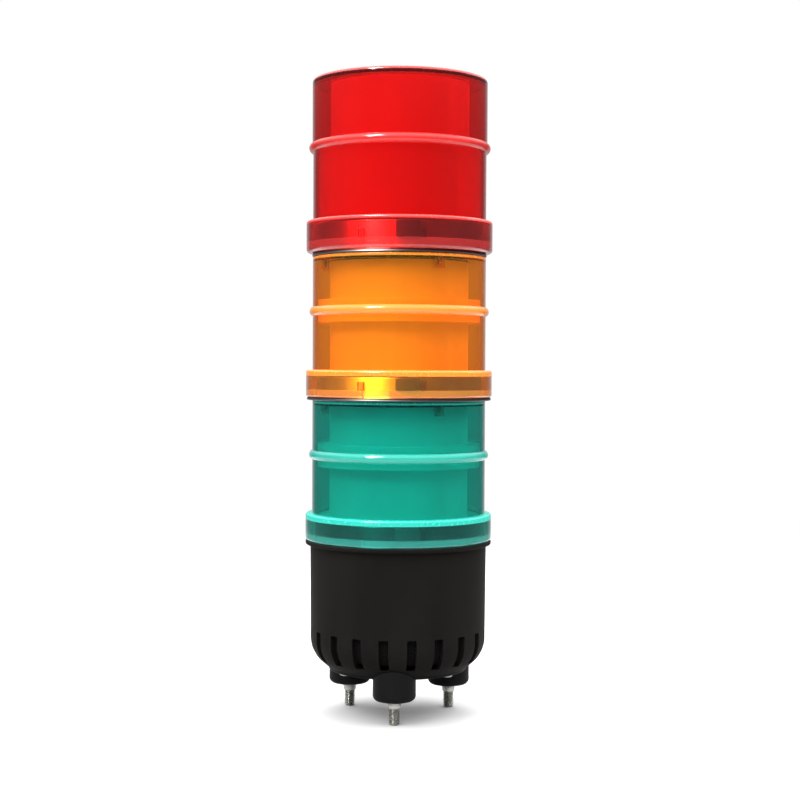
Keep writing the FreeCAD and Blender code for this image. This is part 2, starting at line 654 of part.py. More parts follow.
def bottom_cover():
    """Black plate with a spigot, three bosses for the studs and three posts for the control board."""
    plate = turned([(0, PLATE_Z), (PLATE_R, PLATE_Z, PLATE_EDGE_R), (PLATE_R, HOUSING_LOW_Z),
                    (SPIGOT_R, HOUSING_LOW_Z), (SPIGOT_R, SPIGOT_TOP_Z), (0, SPIGOT_TOP_Z)])
    above_skirt = HOUSING_LOW_Z + BOSS_R
    boss = turned([(0, SHOULDER_H), (BOSS_R, SHOULDER_H, BOSS_EDGE_R), (BOSS_R, above_skirt), (0, above_skirt)])
    housing_core = skirt_core(-FIT_GAP)
    bosses = [boss.translated(V(*place(STUD_CIRCLE_R, t), 0)).cut(housing_core) for t in STUD_TURNS]
    posts = rounds(BOARD_POST_CIRCLE_R, STUD_TURNS, BOARD_POST_R, SPIGOT_TOP_Z, BOARD_Z)
    sockets = rounds(STUD_CIRCLE_R, STUD_TURNS, SHOULDER_TOP_R + STUD_HOLE_GAP, SHOULDER_H,
                     SHOULDER_H + STUD_HEAD_H)
    holes = rounds(COVER_SCREW_CIRCLE_R, COVER_SCREW_TURNS, COVER_SCREW.shank_r + SCREW_CLEARANCE,
                   PLATE_Z, SPIGOT_TOP_Z)
    pilots = rounds(BOARD_POST_CIRCLE_R, STUD_TURNS, BOARD_SCREW.shank_r + THREAD_CLEARANCE,
                    BOARD_Z - (BOARD_SCREW.length - BOARD_T) - SCREW_END_GAP, BOARD_Z)
    cable = disc(BUSHING_WAIST_R + THREAD_CLEARANCE, PLATE_Z, SPIGOT_TOP_Z)
    return less(joined(plate, *bosses, *posts), *sockets, *holes, *pilots, cable)


def stud(turn):
    """Plated stud moulded into its boss, with a flared shoulder. Its thread is a matter of finish."""
    body = turned([
        (0, -STUD_REACH), (STUD_R - STUD_TIP_CHAMFER, -STUD_REACH), (STUD_R, STUD_TIP_CHAMFER - STUD_REACH),
        (STUD_R, 0), (SHOULDER_LOW_R, 0), (SHOULDER_LOW_R, SHOULDER_FLARE_Z, SHOULDER_LOW_R),
        (SHOULDER_TOP_R, SHOULDER_H), (SHOULDER_TOP_R, SHOULDER_H + STUD_HEAD_H), (0, SHOULDER_H + STUD_HEAD_H),
    ])
    return body.translated(V(*place(STUD_CIRCLE_R, turn), 0))


def cable_bushing():
    """Rubber bushing that grips the edge of the cover's centre hole."""
    low, high = PLATE_Z - BUSHING_FLANGE_T, SPIGOT_TOP_Z + BUSHING_FLANGE_T
    return turned([(BUSHING_BORE_R, low), (BUSHING_FLANGE_R, low, BUSHING_EDGE_R), (BUSHING_FLANGE_R, PLATE_Z),
                   (BUSHING_WAIST_R, PLATE_Z), (BUSHING_WAIST_R, SPIGOT_TOP_Z),
                   (BUSHING_FLANGE_R, SPIGOT_TOP_Z), (BUSHING_FLANGE_R, high, BUSHING_EDGE_R),
                   (BUSHING_BORE_R, high)])


def control_board():
    board = disc(BOARD_R, BOARD_Z, BOARD_Z + BOARD_T)
    notch_w = EAR_W + 2 * BOARD_NOTCH_GAP
    notch = block(BOARD_R, notch_w, BOARD_T, EAR_IN_R - BOARD_NOTCH_GAP + BOARD_R / 2, 0, BOARD_Z)
    notches = [turned_to(notch, t) for t in COVER_SCREW_TURNS]
    holes = rounds(BOARD_POST_CIRCLE_R, STUD_TURNS, BOARD_SCREW.shank_r + SCREW_CLEARANCE, BOARD_Z,
                   BOARD_Z + BOARD_T)
    return less(board, *notches, *holes, disc(CABLE_HOLE_R, BOARD_Z, BOARD_Z + BOARD_T, 0, CABLE_HOLE_Y))


def buzzer_case():
    """Cup under the control board, with sound holes in its lower end and a seat for the disc."""
    low, high = BOARD_Z - BUZZER_H, BOARD_Z
    inside = BUZZER_R - BUZZER_WALL
    seat = low + BUZZER_WALL + BUZZER_SEAT_W
    case = turned([(0, low), (BUZZER_R, low, BUZZER_EDGE_R), (BUZZER_R, high), (inside, high),
                   (inside, seat), (inside - BUZZER_SEAT_W, seat), (inside - BUZZER_SEAT_W, low + BUZZER_WALL),
                   (0, low + BUZZER_WALL)])
    holes = rounds(SOUND_HOLE_CIRCLE_R, [360.0 / SOUND_HOLE_COUNT * i for i in range(SOUND_HOLE_COUNT)],
                   SOUND_HOLE_R, low, low + BUZZER_WALL)
    return less(case, disc(SOUND_HOLE_R, low, low + BUZZER_WALL), *holes).translated(V(0, BUZZER_Y, 0))


def buzzer_disc():
    seat = BOARD_Z - BUZZER_H + BUZZER_WALL + BUZZER_SEAT_W
    return disc(BUZZER_R - BUZZER_WALL - FIT_GAP / 2, seat, seat + BUZZER_DISC_T, 0, BUZZER_Y)


def terminal_block():
    """Screw terminals on the control board, with a wire mouth and a screw well for each way."""
    z = BOARD_Z + BOARD_T
    body = block(TERMINAL_L, TERMINAL_W, TERMINAL_H, 0, TERMINAL_Y, z)
    cuts = []
    for i in range(TERMINAL_WAYS):
        x = (i - (TERMINAL_WAYS - 1) / 2) * TERMINAL_PITCH
        cuts.append(block(MOUTH_W, TERMINAL_W / 2, MOUTH_H, x, TERMINAL_Y - TERMINAL_W / 2, z + MOUTH_LIFT))
        cuts.append(disc(WELL_R, z + TERMINAL_H - WELL_DEPTH, z + TERMINAL_H, x, TERMINAL_Y))
    return less(body, *cuts)


def board_components():
    """Smoothing capacitor, driver chip, regulator and a row of resistors on the control board."""
    z = BOARD_Z + BOARD_T
    capacitor = turned([(0, z), (CAPACITOR_R, z), (CAPACITOR_R, z + CAPACITOR_H, CAPACITOR_EDGE_R),
                        (0, z + CAPACITOR_H)]).translated(V(*CAPACITOR_AT, 0))
    chip = block(*CHIP_SIZE, *CHIP_AT, z)
    regulator = block(*REGULATOR_SIZE, *REGULATOR_AT, z)
    row_x, row_y = RESISTOR_ROW_AT
    resistors = [block(*RESISTOR_SIZE, row_x + (i - (RESISTOR_COUNT - 1) / 2) * RESISTOR_PITCH, row_y, z)
                 for i in range(RESISTOR_COUNT)]
    return [capacitor, chip, regulator] + resistors


# ---- the whole light ---------------------------------------------------------------------------------------
def write_joint(name, above, flange_r, gasket_r):
    """Pieces at the top of the base or of a tier that hold the tier above it."""
    write(f"{name}_neck_ring", neck(above, flange_r))
    write(f"{name}_gasket", gasket(above, gasket_r))
    write(f"{name}_contact_pads", *contact_pads(above))
    write(f"{name}_neck_screws", *screws(NECK_SCREW, NECK_SCREW_CIRCLE_R, NECK_SCREW_TURNS,
                                         above.z - SEAT_DROP))


def write_tier(tier):
    write(f"{tier.name}_lens", closed_lens(tier) if tier is RED else open_lens(tier))
    write(f"{tier.name}_diffuser", diffuser(tier))
    write(f"{tier.name}_lamp_carrier", carrier(tier))
    write(f"{tier.name}_lamp_boards", *led_boards(tier))
    write(f"{tier.name}_leds", *leds(tier))
    write(f"{tier.name}_contact_pins", *contact_pins(tier))


def main():
    os.makedirs("parts", exist_ok=True)
    write("base_housing", base_housing())
    write("vent_screen", vent_screen())
    write("bottom_cover", bottom_cover())
    for name, turn in zip(STUD_NAMES, STUD_TURNS):
        write(f"stud_{name}", stud(turn))
    write("cable_bushing", cable_bushing())
    write("cover_screws", *screws(COVER_SCREW, COVER_SCREW_CIRCLE_R, COVER_SCREW_TURNS, PLATE_Z, down=False))
    write("control_board", control_board())
    write("board_screws", *screws(BOARD_SCREW, BOARD_POST_CIRCLE_R, STUD_TURNS, BOARD_Z + BOARD_T))
    write("terminal_block", terminal_block())
    write("board_components", *board_components())
    write("buzzer_case", buzzer_case())
    write("buzzer_disc", buzzer_disc())
    write("base_bus_bars", *bus_bars(BOARD_Z + BOARD_T, deck_top(GREEN) - DECK_T))

    write_joint("base", GREEN, NECK_R, HOUSING_FLANGE_R - FIT_GAP)
    write_joint("green", AMBER, GREEN.flange_r, GREEN.flange_r - FIT_GAP)
    write_joint("amber", RED, AMBER.flange_r, AMBER.flange_r - FIT_GAP)
    for tier, above in ((GREEN, AMBER), (AMBER, RED)):
        write(f"{tier.name}_bus_bars", *bus_bars(carrier_z(tier) + CARRIER_T, deck_top(above) - DECK_T))
    for tier in TIERS:
        write_tier(tier)
    print("ok")


main()
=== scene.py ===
import math

import bmesh
import bpy
from bpy.props import FloatProperty, FloatVectorProperty, PointerProperty
from mathutils import Matrix, Quaternion, Vector


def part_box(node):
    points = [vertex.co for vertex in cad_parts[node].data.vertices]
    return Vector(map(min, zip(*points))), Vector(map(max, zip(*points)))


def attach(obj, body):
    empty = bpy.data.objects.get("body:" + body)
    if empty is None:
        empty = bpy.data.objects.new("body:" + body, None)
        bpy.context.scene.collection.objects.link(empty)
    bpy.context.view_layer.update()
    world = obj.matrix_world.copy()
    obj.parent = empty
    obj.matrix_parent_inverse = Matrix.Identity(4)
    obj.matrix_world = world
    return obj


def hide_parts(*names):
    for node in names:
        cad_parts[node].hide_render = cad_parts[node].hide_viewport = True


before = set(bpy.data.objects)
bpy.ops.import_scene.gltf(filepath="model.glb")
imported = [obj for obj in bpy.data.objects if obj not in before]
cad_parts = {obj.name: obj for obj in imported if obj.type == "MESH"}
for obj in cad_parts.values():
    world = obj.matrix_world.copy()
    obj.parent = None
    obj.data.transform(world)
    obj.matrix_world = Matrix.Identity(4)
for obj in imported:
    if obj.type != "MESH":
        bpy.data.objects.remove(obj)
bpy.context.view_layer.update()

bl_info = {
    "name": "Stack Light Finishes",
    "version": (1, 0, 0),
    "blender": (4, 5, 0),
    "location": "View3D > Sidebar > Stack Light",
    "description": "Finishes, studs, screws, lamps and stage for a three-tier stack light",
    "category": "Object",
}

TIERS = ("green", "amber", "red")
MM = 0.001
PER_CIRCLE = 3  # studs, and screws of each kind, round the axis
NECK_R = 38.5 * MM  # where a neck ring's wall ends and its lugs begin
PAINTED_BAND_HALF = 5.1 * MM  # half the height of the bands painted whiter on a diffuser (painted glow), level with the bead
SOFT_EDGE = 0.3 * MM  # over which one zone of a plastic turns into the next

# Heights in a lens: its lip, the ledge that tops its collar, the collar, the middle of its bead
# above its underside, and its textured top edge
MODULE = {"lip": 3.2 * MM, "ledge": 2.4 * MM, "collar": 12.2 * MM, "bead": 39.2 * MM,
          "edge": 1.6 * MM}
CAP = {"lip": 4.6 * MM, "ledge": 1.3 * MM, "collar": 14.6 * MM, "bead": 48.3 * MM, "edge": 3.4 * MM}
LENS_SHAPES = {"green": MODULE, "amber": MODULE, "red": CAP}
COLLAR_SATIN = {"green": 0.2, "amber": 0.8, "red": 0.6}  # share of satin coat on the collar's face
# How strongly the backs of the lip and the bead are textured, next to the ledge's
LIP_TEXTURE = 0.25
BEAD_TEXTURE = 0.5

# Shank radius, length, head radius and head height
NECK_SCREW = (1.25 * MM, 6.0 * MM, 2.2 * MM, 1.6 * MM)
BOARD_SCREW = (1.4 * MM, 7.0 * MM, 2.7 * MM, 1.8 * MM)
COVER_SCREW = (1.4 * MM, 7.5 * MM, 2.7 * MM, 1.8 * MM)
# Node, body, sizes, whether it is driven in from below, and the seed of the screws' own turns
SCREWS = (
    ("base_neck_screws", "base", NECK_SCREW, False, 3),
    ("green_neck_screws", "green_tier", NECK_SCREW, False, 4),
    ("amber_neck_screws", "amber_tier", NECK_SCREW, False, 5),
    ("board_screws", "base", BOARD_SCREW, False, 3),
    ("cover_screws", "base", COVER_SCREW, True, 3),
)

# Lights face the middle of the column: azimuth from the camera's side and elevation in degrees,
# distance, and side of the square in metres
COLUMN_MIDDLE = 0.16
SOFTBOX_PLACE = (-31.0, 38.0, 1.2, 0.36)
RING_LIGHT_PLACE = (-37.5, 22.0, 2.5, 0.45)
WINDOWS = ((-42.0, 50.0, 9.0), (-38.0, 24.0, 5.0))  # azimuth, elevation, half the angle in degrees
FLOOR_R = 0.9
SENSOR_MM = 36.0


# ---- node helpers --------------------------------------------------------------------------
def node(tree, kind, inputs=(), **settings):
    """Adds a node, applies its settings, and sets or links its inputs."""
    made = tree.nodes.new(kind)
    for name, value in settings.items():
        setattr(made, name, value)
    for name, value in dict(inputs).items():
        if isinstance(value, bpy.types.NodeSocket):
            tree.links.new(value, made.inputs[name])
        else:
            made.inputs[name].default_value = value
    return made


def calc(tree, operation, a, b=0.0, c=0.0):
    """Output of a Math node."""
    return node(tree, "ShaderNodeMath", {0: a, 1: b, 2: c}, operation=operation).outputs[0]


def ramp(tree, value, low, high, to_low=0.0, to_high=1.0, smooth=True):
    """Output of a Map Range node from low..high to to_low..to_high."""
    inputs = {"Value": value, "From Min": low, "From Max": high, "To Min": to_low,
              "To Max": to_high}
    return node(tree, "ShaderNodeMapRange", inputs,
                interpolation_type="SMOOTHSTEP" if smooth else "LINEAR").outputs["Result"]


def object_point(tree, stretch=(1.0, 1.0, 1.0)):
    """Object coordinates, stretched where a grain runs one way."""
    place = node(tree, "ShaderNodeTexCoord").outputs["Object"]
    return node(tree, "ShaderNodeMapping", {"Vector": place, "Scale": stretch}).outputs["Vector"]


def object_axes(tree):
    """Object coordinates apart, as x, y and z."""
    place = node(tree, "ShaderNodeTexCoord").outputs["Object"]
    return node(tree, "ShaderNodeSeparateXYZ", {0: place}).outputs


def from_axis(tree, x, y):
    """Distance from the upright axis."""
    return calc(tree, "SQRT", calc(tree, "ADD", calc(tree, "MULTIPLY", x, x),
                                   calc(tree, "MULTIPLY", y, y)))


def noise(tree, point, scale, detail=3.0, roughness=0.5):
    """Soft noise from 0 to 1, its scale in waves for each metre."""
    inputs = {"Vector": point, "Scale": scale, "Detail": detail, "Roughness": roughness}
    return node(tree, "ShaderNodeTexNoise", inputs).outputs["Fac"]


def mixed(tree, factor, a, b):
    """Colour between a and b."""
    return node(tree, "ShaderNodeMix", {0: factor, 6: a, 7: b}, data_type="RGBA").outputs[2]


def bump(tree, height, depth, strength=1.0):
    """Normal that a height from 0 to 1 gives at a depth in metres."""
    inputs = {"Height": height, "Distance": depth, "Strength": strength}
    return node(tree, "ShaderNodeBump", inputs).outputs[0]


def shaded(colour, factor=1.0):
    """Opaque colour, lighter or darker by a factor."""
    return tuple(min(c * factor, 1.0) for c in colour[:3]) + (1.0,)


def new_material(name):
    """An empty material with a Principled shader and its output."""
    material = bpy.data.materials.new(name)
    material.use_nodes = True
    tree = material.node_tree
    tree.nodes.clear()
    shader = node(tree, "ShaderNodeBsdfPrincipled")
    out = node(tree, "ShaderNodeOutputMaterial", {"Surface": shader.outputs[0]})
    return material, tree, shader, out


def feed(tree, shader, **inputs):
    """Sets or links inputs of the shader, written with underscores for spaces."""
    for name, value in inputs.items():
        socket = shader.inputs[name.replace("_", " ")]
        if isinstance(value, bpy.types.NodeSocket):
            tree.links.new(value, socket)
        else:
            socket.default_value = value


# ---- finishes ------------------------------------------------------------------------------
def moulded_plastic(name, colour, roughness, specular, grain=0.00035, depth=0.00004):
    """Moulded plastic with a fine grain, faint flow marks and uneven gloss."""
    material, tree, shader, _ = new_material(name)
    flow = noise(tree, object_point(tree, (1.0, 1.0, 0.25)), 45.0, 4.0)
    texture = noise(tree, object_point(tree), 1.0 / grain, 2.0, 0.6)
    base = mixed(tree, ramp(tree, flow, 0.3, 0.7), shaded(colour, 0.82), shaded(colour, 1.18))
    gloss = calc(tree, "MULTIPLY_ADD", flow, 0.12, roughness - 0.06)
    gloss = calc(tree, "MULTIPLY_ADD", texture, 0.1, gloss)
    feed(tree, shader, Base_Color=base, Roughness=gloss, Normal=bump(tree, texture, depth),
         Specular_IOR_Level=specular)
    return material


def textured_zone(tree, height, low, high, shape):
    """How textured the back of a lens is: fully at its ledge and its top edge, less at its lip
    and its bead, and not at all on the clear wall."""
    lip_top, ledge_top = low + shape["lip"], low + shape["collar"]
    ledge_low = ledge_top - shape["ledge"]
    lip = calc(tree, "MULTIPLY", ramp(tree, height, lip_top, lip_top + SOFT_EDGE, 1.0, 0.0),
               LIP_TEXTURE)
    ledge = calc(tree, "MULTIPLY", ramp(tree, height, ledge_low - SOFT_EDGE, ledge_low),
                 ramp(tree, height, ledge_top, ledge_top + SOFT_EDGE, 1.0, 0.0))
    edge = ramp(tree, height, high - shape["edge"], high - shape["edge"] * 0.8)
    from_bead = calc(tree, "ABSOLUTE", calc(tree, "SUBTRACT", height, low + shape["bead"]))
    bead = ramp(tree, from_bead, 1.9 * MM, 2.3 * MM, BEAD_TEXTURE, 0.0)
    return calc(tree, "MAXIMUM", calc(tree, "MAXIMUM", lip, ledge),
                calc(tree, "MAXIMUM", edge, bead))


def tinted_plastic(tier, given, low, high):
    """Clear tinted plastic. Where its back is textured it glows; the wall is clear, and deepens
    where it is looked through at a slant. The collar's face has a satin coat."""
    material, tree, shader, out = new_material(f"{tier}_lens_plastic")
    tint, textured = getattr(given, tier), getattr(given, f"{tier}_rim")
    shape = LENS_SHAPES[tier]
    ledge_top = low + shape["collar"]
    height = object_axes(tree)[2]
    zone = textured_zone(tree, height, low, high, shape)
    coat = ramp(tree, height, ledge_top - SOFT_EDGE, ledge_top, COLLAR_SATIN[tier], 0.0)
    flow = noise(tree, object_point(tree, (1.0, 1.0, 0.35)), 30.0, 3.0)
    wall = mixed(tree, ramp(tree, flow, 0.35, 0.65), shaded(tint, 0.97), shaded(tint, 1.03))
    clear = calc(tree, "SUBTRACT", 1.0 - given.haze,
                 calc(tree, "MULTIPLY", zone, given.rim_haze - given.haze))
    grain = calc(tree, "MULTIPLY_ADD", noise(tree, object_point(tree), 900.0), 0.2, given.roughness)
    feed(tree, shader, Base_Color=mixed(tree, zone, wall, shaded(textured)),
         Roughness=calc(tree, "MULTIPLY", zone, grain), Normal=bump(tree, flow, 0.0002, 0.35),
         Transmission_Weight=clear, IOR=1.49, Coat_Weight=coat, Coat_Roughness=0.3)
    # Light passes the two faces of a wall, and each face gives its half of the tint
    shadow = node(tree, "ShaderNodeLightPath").outputs["Is Shadow Ray"]
    face_tint = tuple(c ** 0.5 for c in tint[:3]) + (1.0,)
    passing = node(tree, "ShaderNodeBsdfTransparent", {"Color": face_tint})
    surface = node(tree, "ShaderNodeMixShader",
                   {0: shadow, 1: shader.outputs[0], 2: passing.outputs[0]})
    tree.links.new(surface.outputs[0], out.inputs["Surface"])
    inside = node(tree, "ShaderNodeVolumeAbsorption",
                  {"Color": getattr(given, f"{tier}_depth"), "Density": given.density})
    tree.links.new(inside.outputs[0], out.inputs["Volume"])
    return material


def metallised_ring(name, colour, lug_colour):
    """Moulded ring with a dark metallised wall, brushed round by its tool, and plain black lugs."""
    material, tree, shader, _ = new_material(name)
    x, y, _ = object_axes(tree)
    lug = ramp(tree, from_axis(tree, x, y), NECK_R + 0.05 * MM, NECK_R + 0.15 * MM, smooth=False)
    brushed = noise(tree, object_point(tree, (0.05, 0.05, 1.0)), 5200.0, 2.0)
    clouds = noise(tree, object_point(tree), 90.0, 4.0)
    plated = mixed(tree, ramp(tree, clouds, 0.35, 0.7), shaded(colour, 1.12), shaded(colour, 0.82))
    feed(tree, shader, Base_Color=mixed(tree, lug, plated, shaded(lug_colour)),
         Metallic=calc(tree, "SUBTRACT", 1.0, lug),
         Roughness=calc(tree, "MULTIPLY_ADD", brushed, 0.1, 0.3),
         Normal=bump(tree, brushed, 0.000008), Specular_IOR_Level=0.5)
    return material


def frosted_white(name, colour, painted_band_heights):
    """Frosted white sleeve: an even matt skin with faint streaks along its draw, and wide
    bands painted whiter: painted light, a glow that stands in for the light the beads gather."""
    material, tree, shader, _ = new_material(name)
    streaks = noise(tree, object_point(tree, (1.0, 1.0, 0.06)), 260.0, 3.0)
    frost = noise(tree, object_point(tree), 3200.0, 2.0)
    height = object_axes(tree)[2]
    # How much whiter the sleeve is painted, in bands level with the beads: a painted glow
    white = 0.0
    for middle in painted_band_heights:
        off = calc(tree, "ABSOLUTE", calc(tree, "SUBTRACT", height, middle))
        painted_band = ramp(tree, off, PAINTED_BAND_HALF, PAINTED_BAND_HALF + SOFT_EDGE, 1.0, 0.0)
        white = calc(tree, "MAXIMUM", white, painted_band)
    skin = mixed(tree, streaks, shaded(colour, 0.86), shaded(colour, 0.92))
    # Painted glow: the bands take a lighter copy of the sleeve's white than the skin has
    feed(tree, shader, Base_Color=mixed(tree, white, skin, shaded(colour, 1.07)),
         Roughness=calc(tree, "MULTIPLY_ADD", frost, 0.15, 0.5),
         Normal=bump(tree, frost, 0.00003), Specular_IOR_Level=0.08)
    return material


def plated_steel(name, colour, roughness):
    """Bright zinc plate with fine turning marks and a few dull patches."""
    material, tree, shader, _ = new_material(name)
    patches = noise(tree, object_point(tree), 420.0, 4.0, 0.65)
    turning = noise(tree, object_point(tree, (0.15, 0.15, 1.0)), 6500.0, 2.0)
    feed(tree, shader, Metallic=1.0, Normal=bump(tree, turning, 0.00002, 0.6),
         Base_Color=mixed(tree, ramp(tree, patches, 0.35, 0.7), shaded(colour, 1.05),
                          shaded(colour, 0.78)),
         Roughness=ramp(tree, patches, 0.3, 0.75, roughness - 0.05, roughness + 0.14))
    return material


def rolled_brass(name, colour):
    """Brass strip with rolling marks and a light tarnish."""
    material, tree, shader, _ = new_material(name)
    rolling = noise(tree, object_point(tree, (1.0, 0.08, 1.0)), 2600.0, 3.0)
    tarnish = noise(tree, object_point(tree), 150.0, 4.0)
    feed(tree, shader, Metallic=1.0, Normal=bump(tree, rolling, 0.00001),
         Base_Color=mixed(tree, ramp(tree, tarnish, 0.4, 0.75), shaded(colour),
                          shaded(colour, 0.6)),
         Roughness=calc(tree, "MULTIPLY_ADD", rolling, 0.2, 0.2))
    return material


def soft_rubber(name, colour):
    """Black rubber with fine pores and a grey bloom in places."""
    material, tree, shader, _ = new_material(name)
    bloom = noise(tree, object_point(tree), 120.0, 5.0, 0.6)
    pores = noise(tree, object_point(tree), 4200.0, 2.0)
    feed(tree, shader, Normal=bump(tree, pores, 0.00003), Specular_IOR_Level=0.25,
         Base_Color=mixed(tree, ramp(tree, bloom, 0.45, 0.8), shaded(colour), shaded(colour, 1.9)),
         Roughness=calc(tree, "MULTIPLY_ADD", bloom, 0.15, 0.72))
    return material


def solder_mask(name, colour, copper):
    """Circuit board with tracks under its mask."""
    material, tree, shader, _ = new_material(name)
    place = object_point(tree)
    grid = node(tree, "ShaderNodeTexBrick", {
        "Vector": place, "Scale": 160.0, "Mortar Size": 0.03, "Color1": shaded(colour),
        "Color2": shaded(colour, 0.92), "Mortar": shaded(copper)})
    relief = calc(tree, "SUBTRACT", 1.0, grid.outputs["Fac"])
    feed(tree, shader, Base_Color=grid.outputs["Color"], Normal=bump(tree, relief, 0.00002),
         Roughness=calc(tree, "MULTIPLY_ADD", noise(tree, place, 500.0), 0.15, 0.28))
    return material


def woven_mesh(name, colour):
    """Fine woven mesh: threads that cross, dark between them."""
    material, tree, shader, _ = new_material(name)
    x, y, z = object_axes(tree)
    turn = calc(tree, "MULTIPLY", calc(tree, "ARCTAN2", y, x), 38.0)
    across = calc(tree, "PINGPONG", turn, 0.5)
    along = calc(tree, "PINGPONG", calc(tree, "MULTIPLY", z, 1000.0), 0.5)
    thread = calc(tree, "MAXIMUM", ramp(tree, across, 0.2, 0.45), ramp(tree, along, 0.2, 0.45))
    feed(tree, shader, Base_Color=mixed(tree, thread, shaded(colour, 0.4), shaded(colour, 1.6)),
         Roughness=0.8, Normal=bump(tree, thread, 0.0002), Specular_IOR_Level=0.03)
    return material


def assign(material, *nodes):
    """Gives CAD nodes their finish."""
    for name in nodes:
        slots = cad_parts[name].material_slots
        if not slots:
            raise RuntimeError(f"{name} has no material slot")
        for slot in slots:
            slot.material = material


# ---- mesh helpers --------------------------------------------------------------------------
def spread(low, high, count):
    """Evenly spaced numbers from low to high, count steps apart."""
    return [low + (high - low) * i / count for i in range(count + 1)]


def lathe(outline, segments):
    """Closed mesh turned about Z from (r, z) points that start and end on the axis."""
    shape = bmesh.new()
    rings = []
    for r, z in outline:
        if r < 1e-7:
            rings.append([shape.verts.new((0.0, 0.0, z))])
        else:
            rings.append([shape.verts.new((r * math.cos(a), r * math.sin(a), z))
                          for a in (2 * math.pi * i / segments for i in range(segments))])
    for low, high in zip(rings, rings[1:]):
        for i in range(segments):
            j = (i + 1) % segments
            if len(low) == 1:
                shape.faces.new((low[0], high[j], high[i]))
            elif len(high) == 1:
                shape.faces.new((low[i], low[j], high[0]))
            else:
                shape.faces.new((low[i], low[j], high[j], high[i]))
    bmesh.ops.recalc_face_normals(shape, faces=shape.faces)
    return shape


def new_object(name, shape):
    """Object at the origin from a bmesh, which is freed."""
    mesh = bpy.data.meshes.new(name)
    shape.to_mesh(mesh)
    shape.free()
    made = bpy.data.objects.new(name, mesh)
    bpy.context.scene.collection.objects.link(made)
    return made


def circle_of_box(name):
    """Radius and angle at which a piece stands round the axis, from its box."""
    low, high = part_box(name)
    centre = (low + high) / 2
    return Vector((centre.x, centre.y)).length, math.atan2(centre.y, centre.x)


def circle_of_group(name):
    """Radius and angle at which the rightmost solid of a group stands, from that solid alone."""
    shape = bmesh.new()
    shape.from_mesh(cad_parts[name].data)
    bmesh.ops.remove_doubles(shape, verts=shape.verts, dist=1e-6)
    first = max(shape.verts, key=lambda v: v.co.x)
    found, waiting = {first}, [first]
    while waiting:
        for edge in waiting.pop().link_edges:
            for end in edge.verts:
                if end not in found:
                    found.add(end)
                    waiting.append(end)
    xs, ys = [v.co.x for v in found], [v.co.y for v in found]
    shape.free()
    x, y = (min(xs) + max(xs)) / 2, (min(ys) + max(ys)) / 2
    return math.hypot(x, y), math.atan2(y, x)


# ---- geometry node trees -------------------------------------------------------------------
RING_SOCKETS = (("Count", "Int"), ("Circle Radius", "Float"), ("Turn", "Float"),
                ("Height", "Float"))


def new_tree(name, sockets):
    """Geometry node tree with a geometry input, named number inputs and a material input."""
    tree = bpy.data.node_groups.new(name, "GeometryNodeTree")
    tree.interface.new_socket("Geometry", in_out="INPUT", socket_type="NodeSocketGeometry")
    for label, kind in sockets:
        tree.interface.new_socket(label, in_out="INPUT", socket_type=f"NodeSocket{kind}")
    tree.interface.new_socket("Material", in_out="INPUT", socket_type="NodeSocketMaterial")
    tree.interface.new_socket("Geometry", in_out="OUTPUT", socket_type="NodeSocketGeometry")
    return tree, tree.nodes.new("NodeGroupInput").outputs


def close_tree(tree, given, geometry):
    """Ends a tree in Realize Instances and Set Material."""
    real = node(tree, "GeometryNodeRealizeInstances", {0: geometry})
    painted = node(tree, "GeometryNodeSetMaterial",
                   {"Geometry": real.outputs[0], "Material": given["Material"]})
    tree.links.new(painted.outputs[0], tree.nodes.new("NodeGroupOutput").inputs[0])


def settle(made, tree, values, body, replaced, crease):
    """Runs a tree on an object, keeps the result as its plain mesh, and hands the piece to its
    body."""
    modifier = made.modifiers.new("Build", "NODES")
    modifier.node_group = tree
    inputs = {i.name: i.identifier for i in tree.interface.items_tree
              if i.item_type == "SOCKET" and i.in_out == "INPUT"}
    for label, value in values.items():
        modifier[inputs[label]] = value
    bpy.context.view_layer.update()
    evaluated = made.evaluated_get(bpy.context.evaluated_depsgraph_get())
    mesh = bpy.data.meshes.new_from_object(evaluated)
    if not mesh.polygons:
        raise RuntimeError(f"{made.name} came out empty")
    made.modifiers.clear()
    made.data = mesh
    mesh.shade_smooth()
    mesh.set_sharp_from_angle(angle=math.radians(crease))
    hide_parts(*replaced)
    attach(made, body)


def ring_points(tree, given):
    """Points on a circle at a height, the first at Turn from +X, for instances."""
    circle = node(tree, "GeometryNodeMeshCircle",
                  {"Vertices": given["Count"], "Radius": given["Circle Radius"]})
    spin = node(tree, "ShaderNodeCombineXYZ", {2: given["Turn"]}).outputs[0]
    lift = node(tree, "ShaderNodeCombineXYZ", {2: given["Height"]}).outputs[0]
    return node(tree, "GeometryNodeTransform", {
        "Geometry": circle.outputs[0], "Translation": lift, "Rotation": spin}).outputs[0]


def around_axis(tree, pitch):
    """Each point's x, y, z and distance from the axis, and a wave from 0 to 0.5 that winds
    round the axis once in each pitch."""
    place = tree.nodes.new("GeometryNodeInputPosition").outputs[0]
    x, y, z = node(tree, "ShaderNodeSeparateXYZ", {0: place}).outputs
    turn = calc(tree, "DIVIDE", calc(tree, "ARCTAN2", y, x), 2 * math.pi)
    wave = calc(tree, "PINGPONG", calc(tree, "SUBTRACT", calc(tree, "DIVIDE", z, pitch), turn),
                0.5)
    return x, y, z, from_axis(tree, x, y), wave


def cut_in(tree, geometry, x, y, z, radius, cut):
    """Geometry whose points are drawn towards the axis by a cut's depth."""
    kept = calc(tree, "DIVIDE", calc(tree, "SUBTRACT", radius, cut),
                calc(tree, "MAXIMUM", radius, 1e-6))
    moved = node(tree, "ShaderNodeCombineXYZ", {0: calc(tree, "MULTIPLY", x, kept),
                                                1: calc(tree, "MULTIPLY", y, kept), 2: z})
    return node(tree, "GeometryNodeSetPosition",
                {"Geometry": geometry, "Position": moved.outputs[0]}).outputs[0]


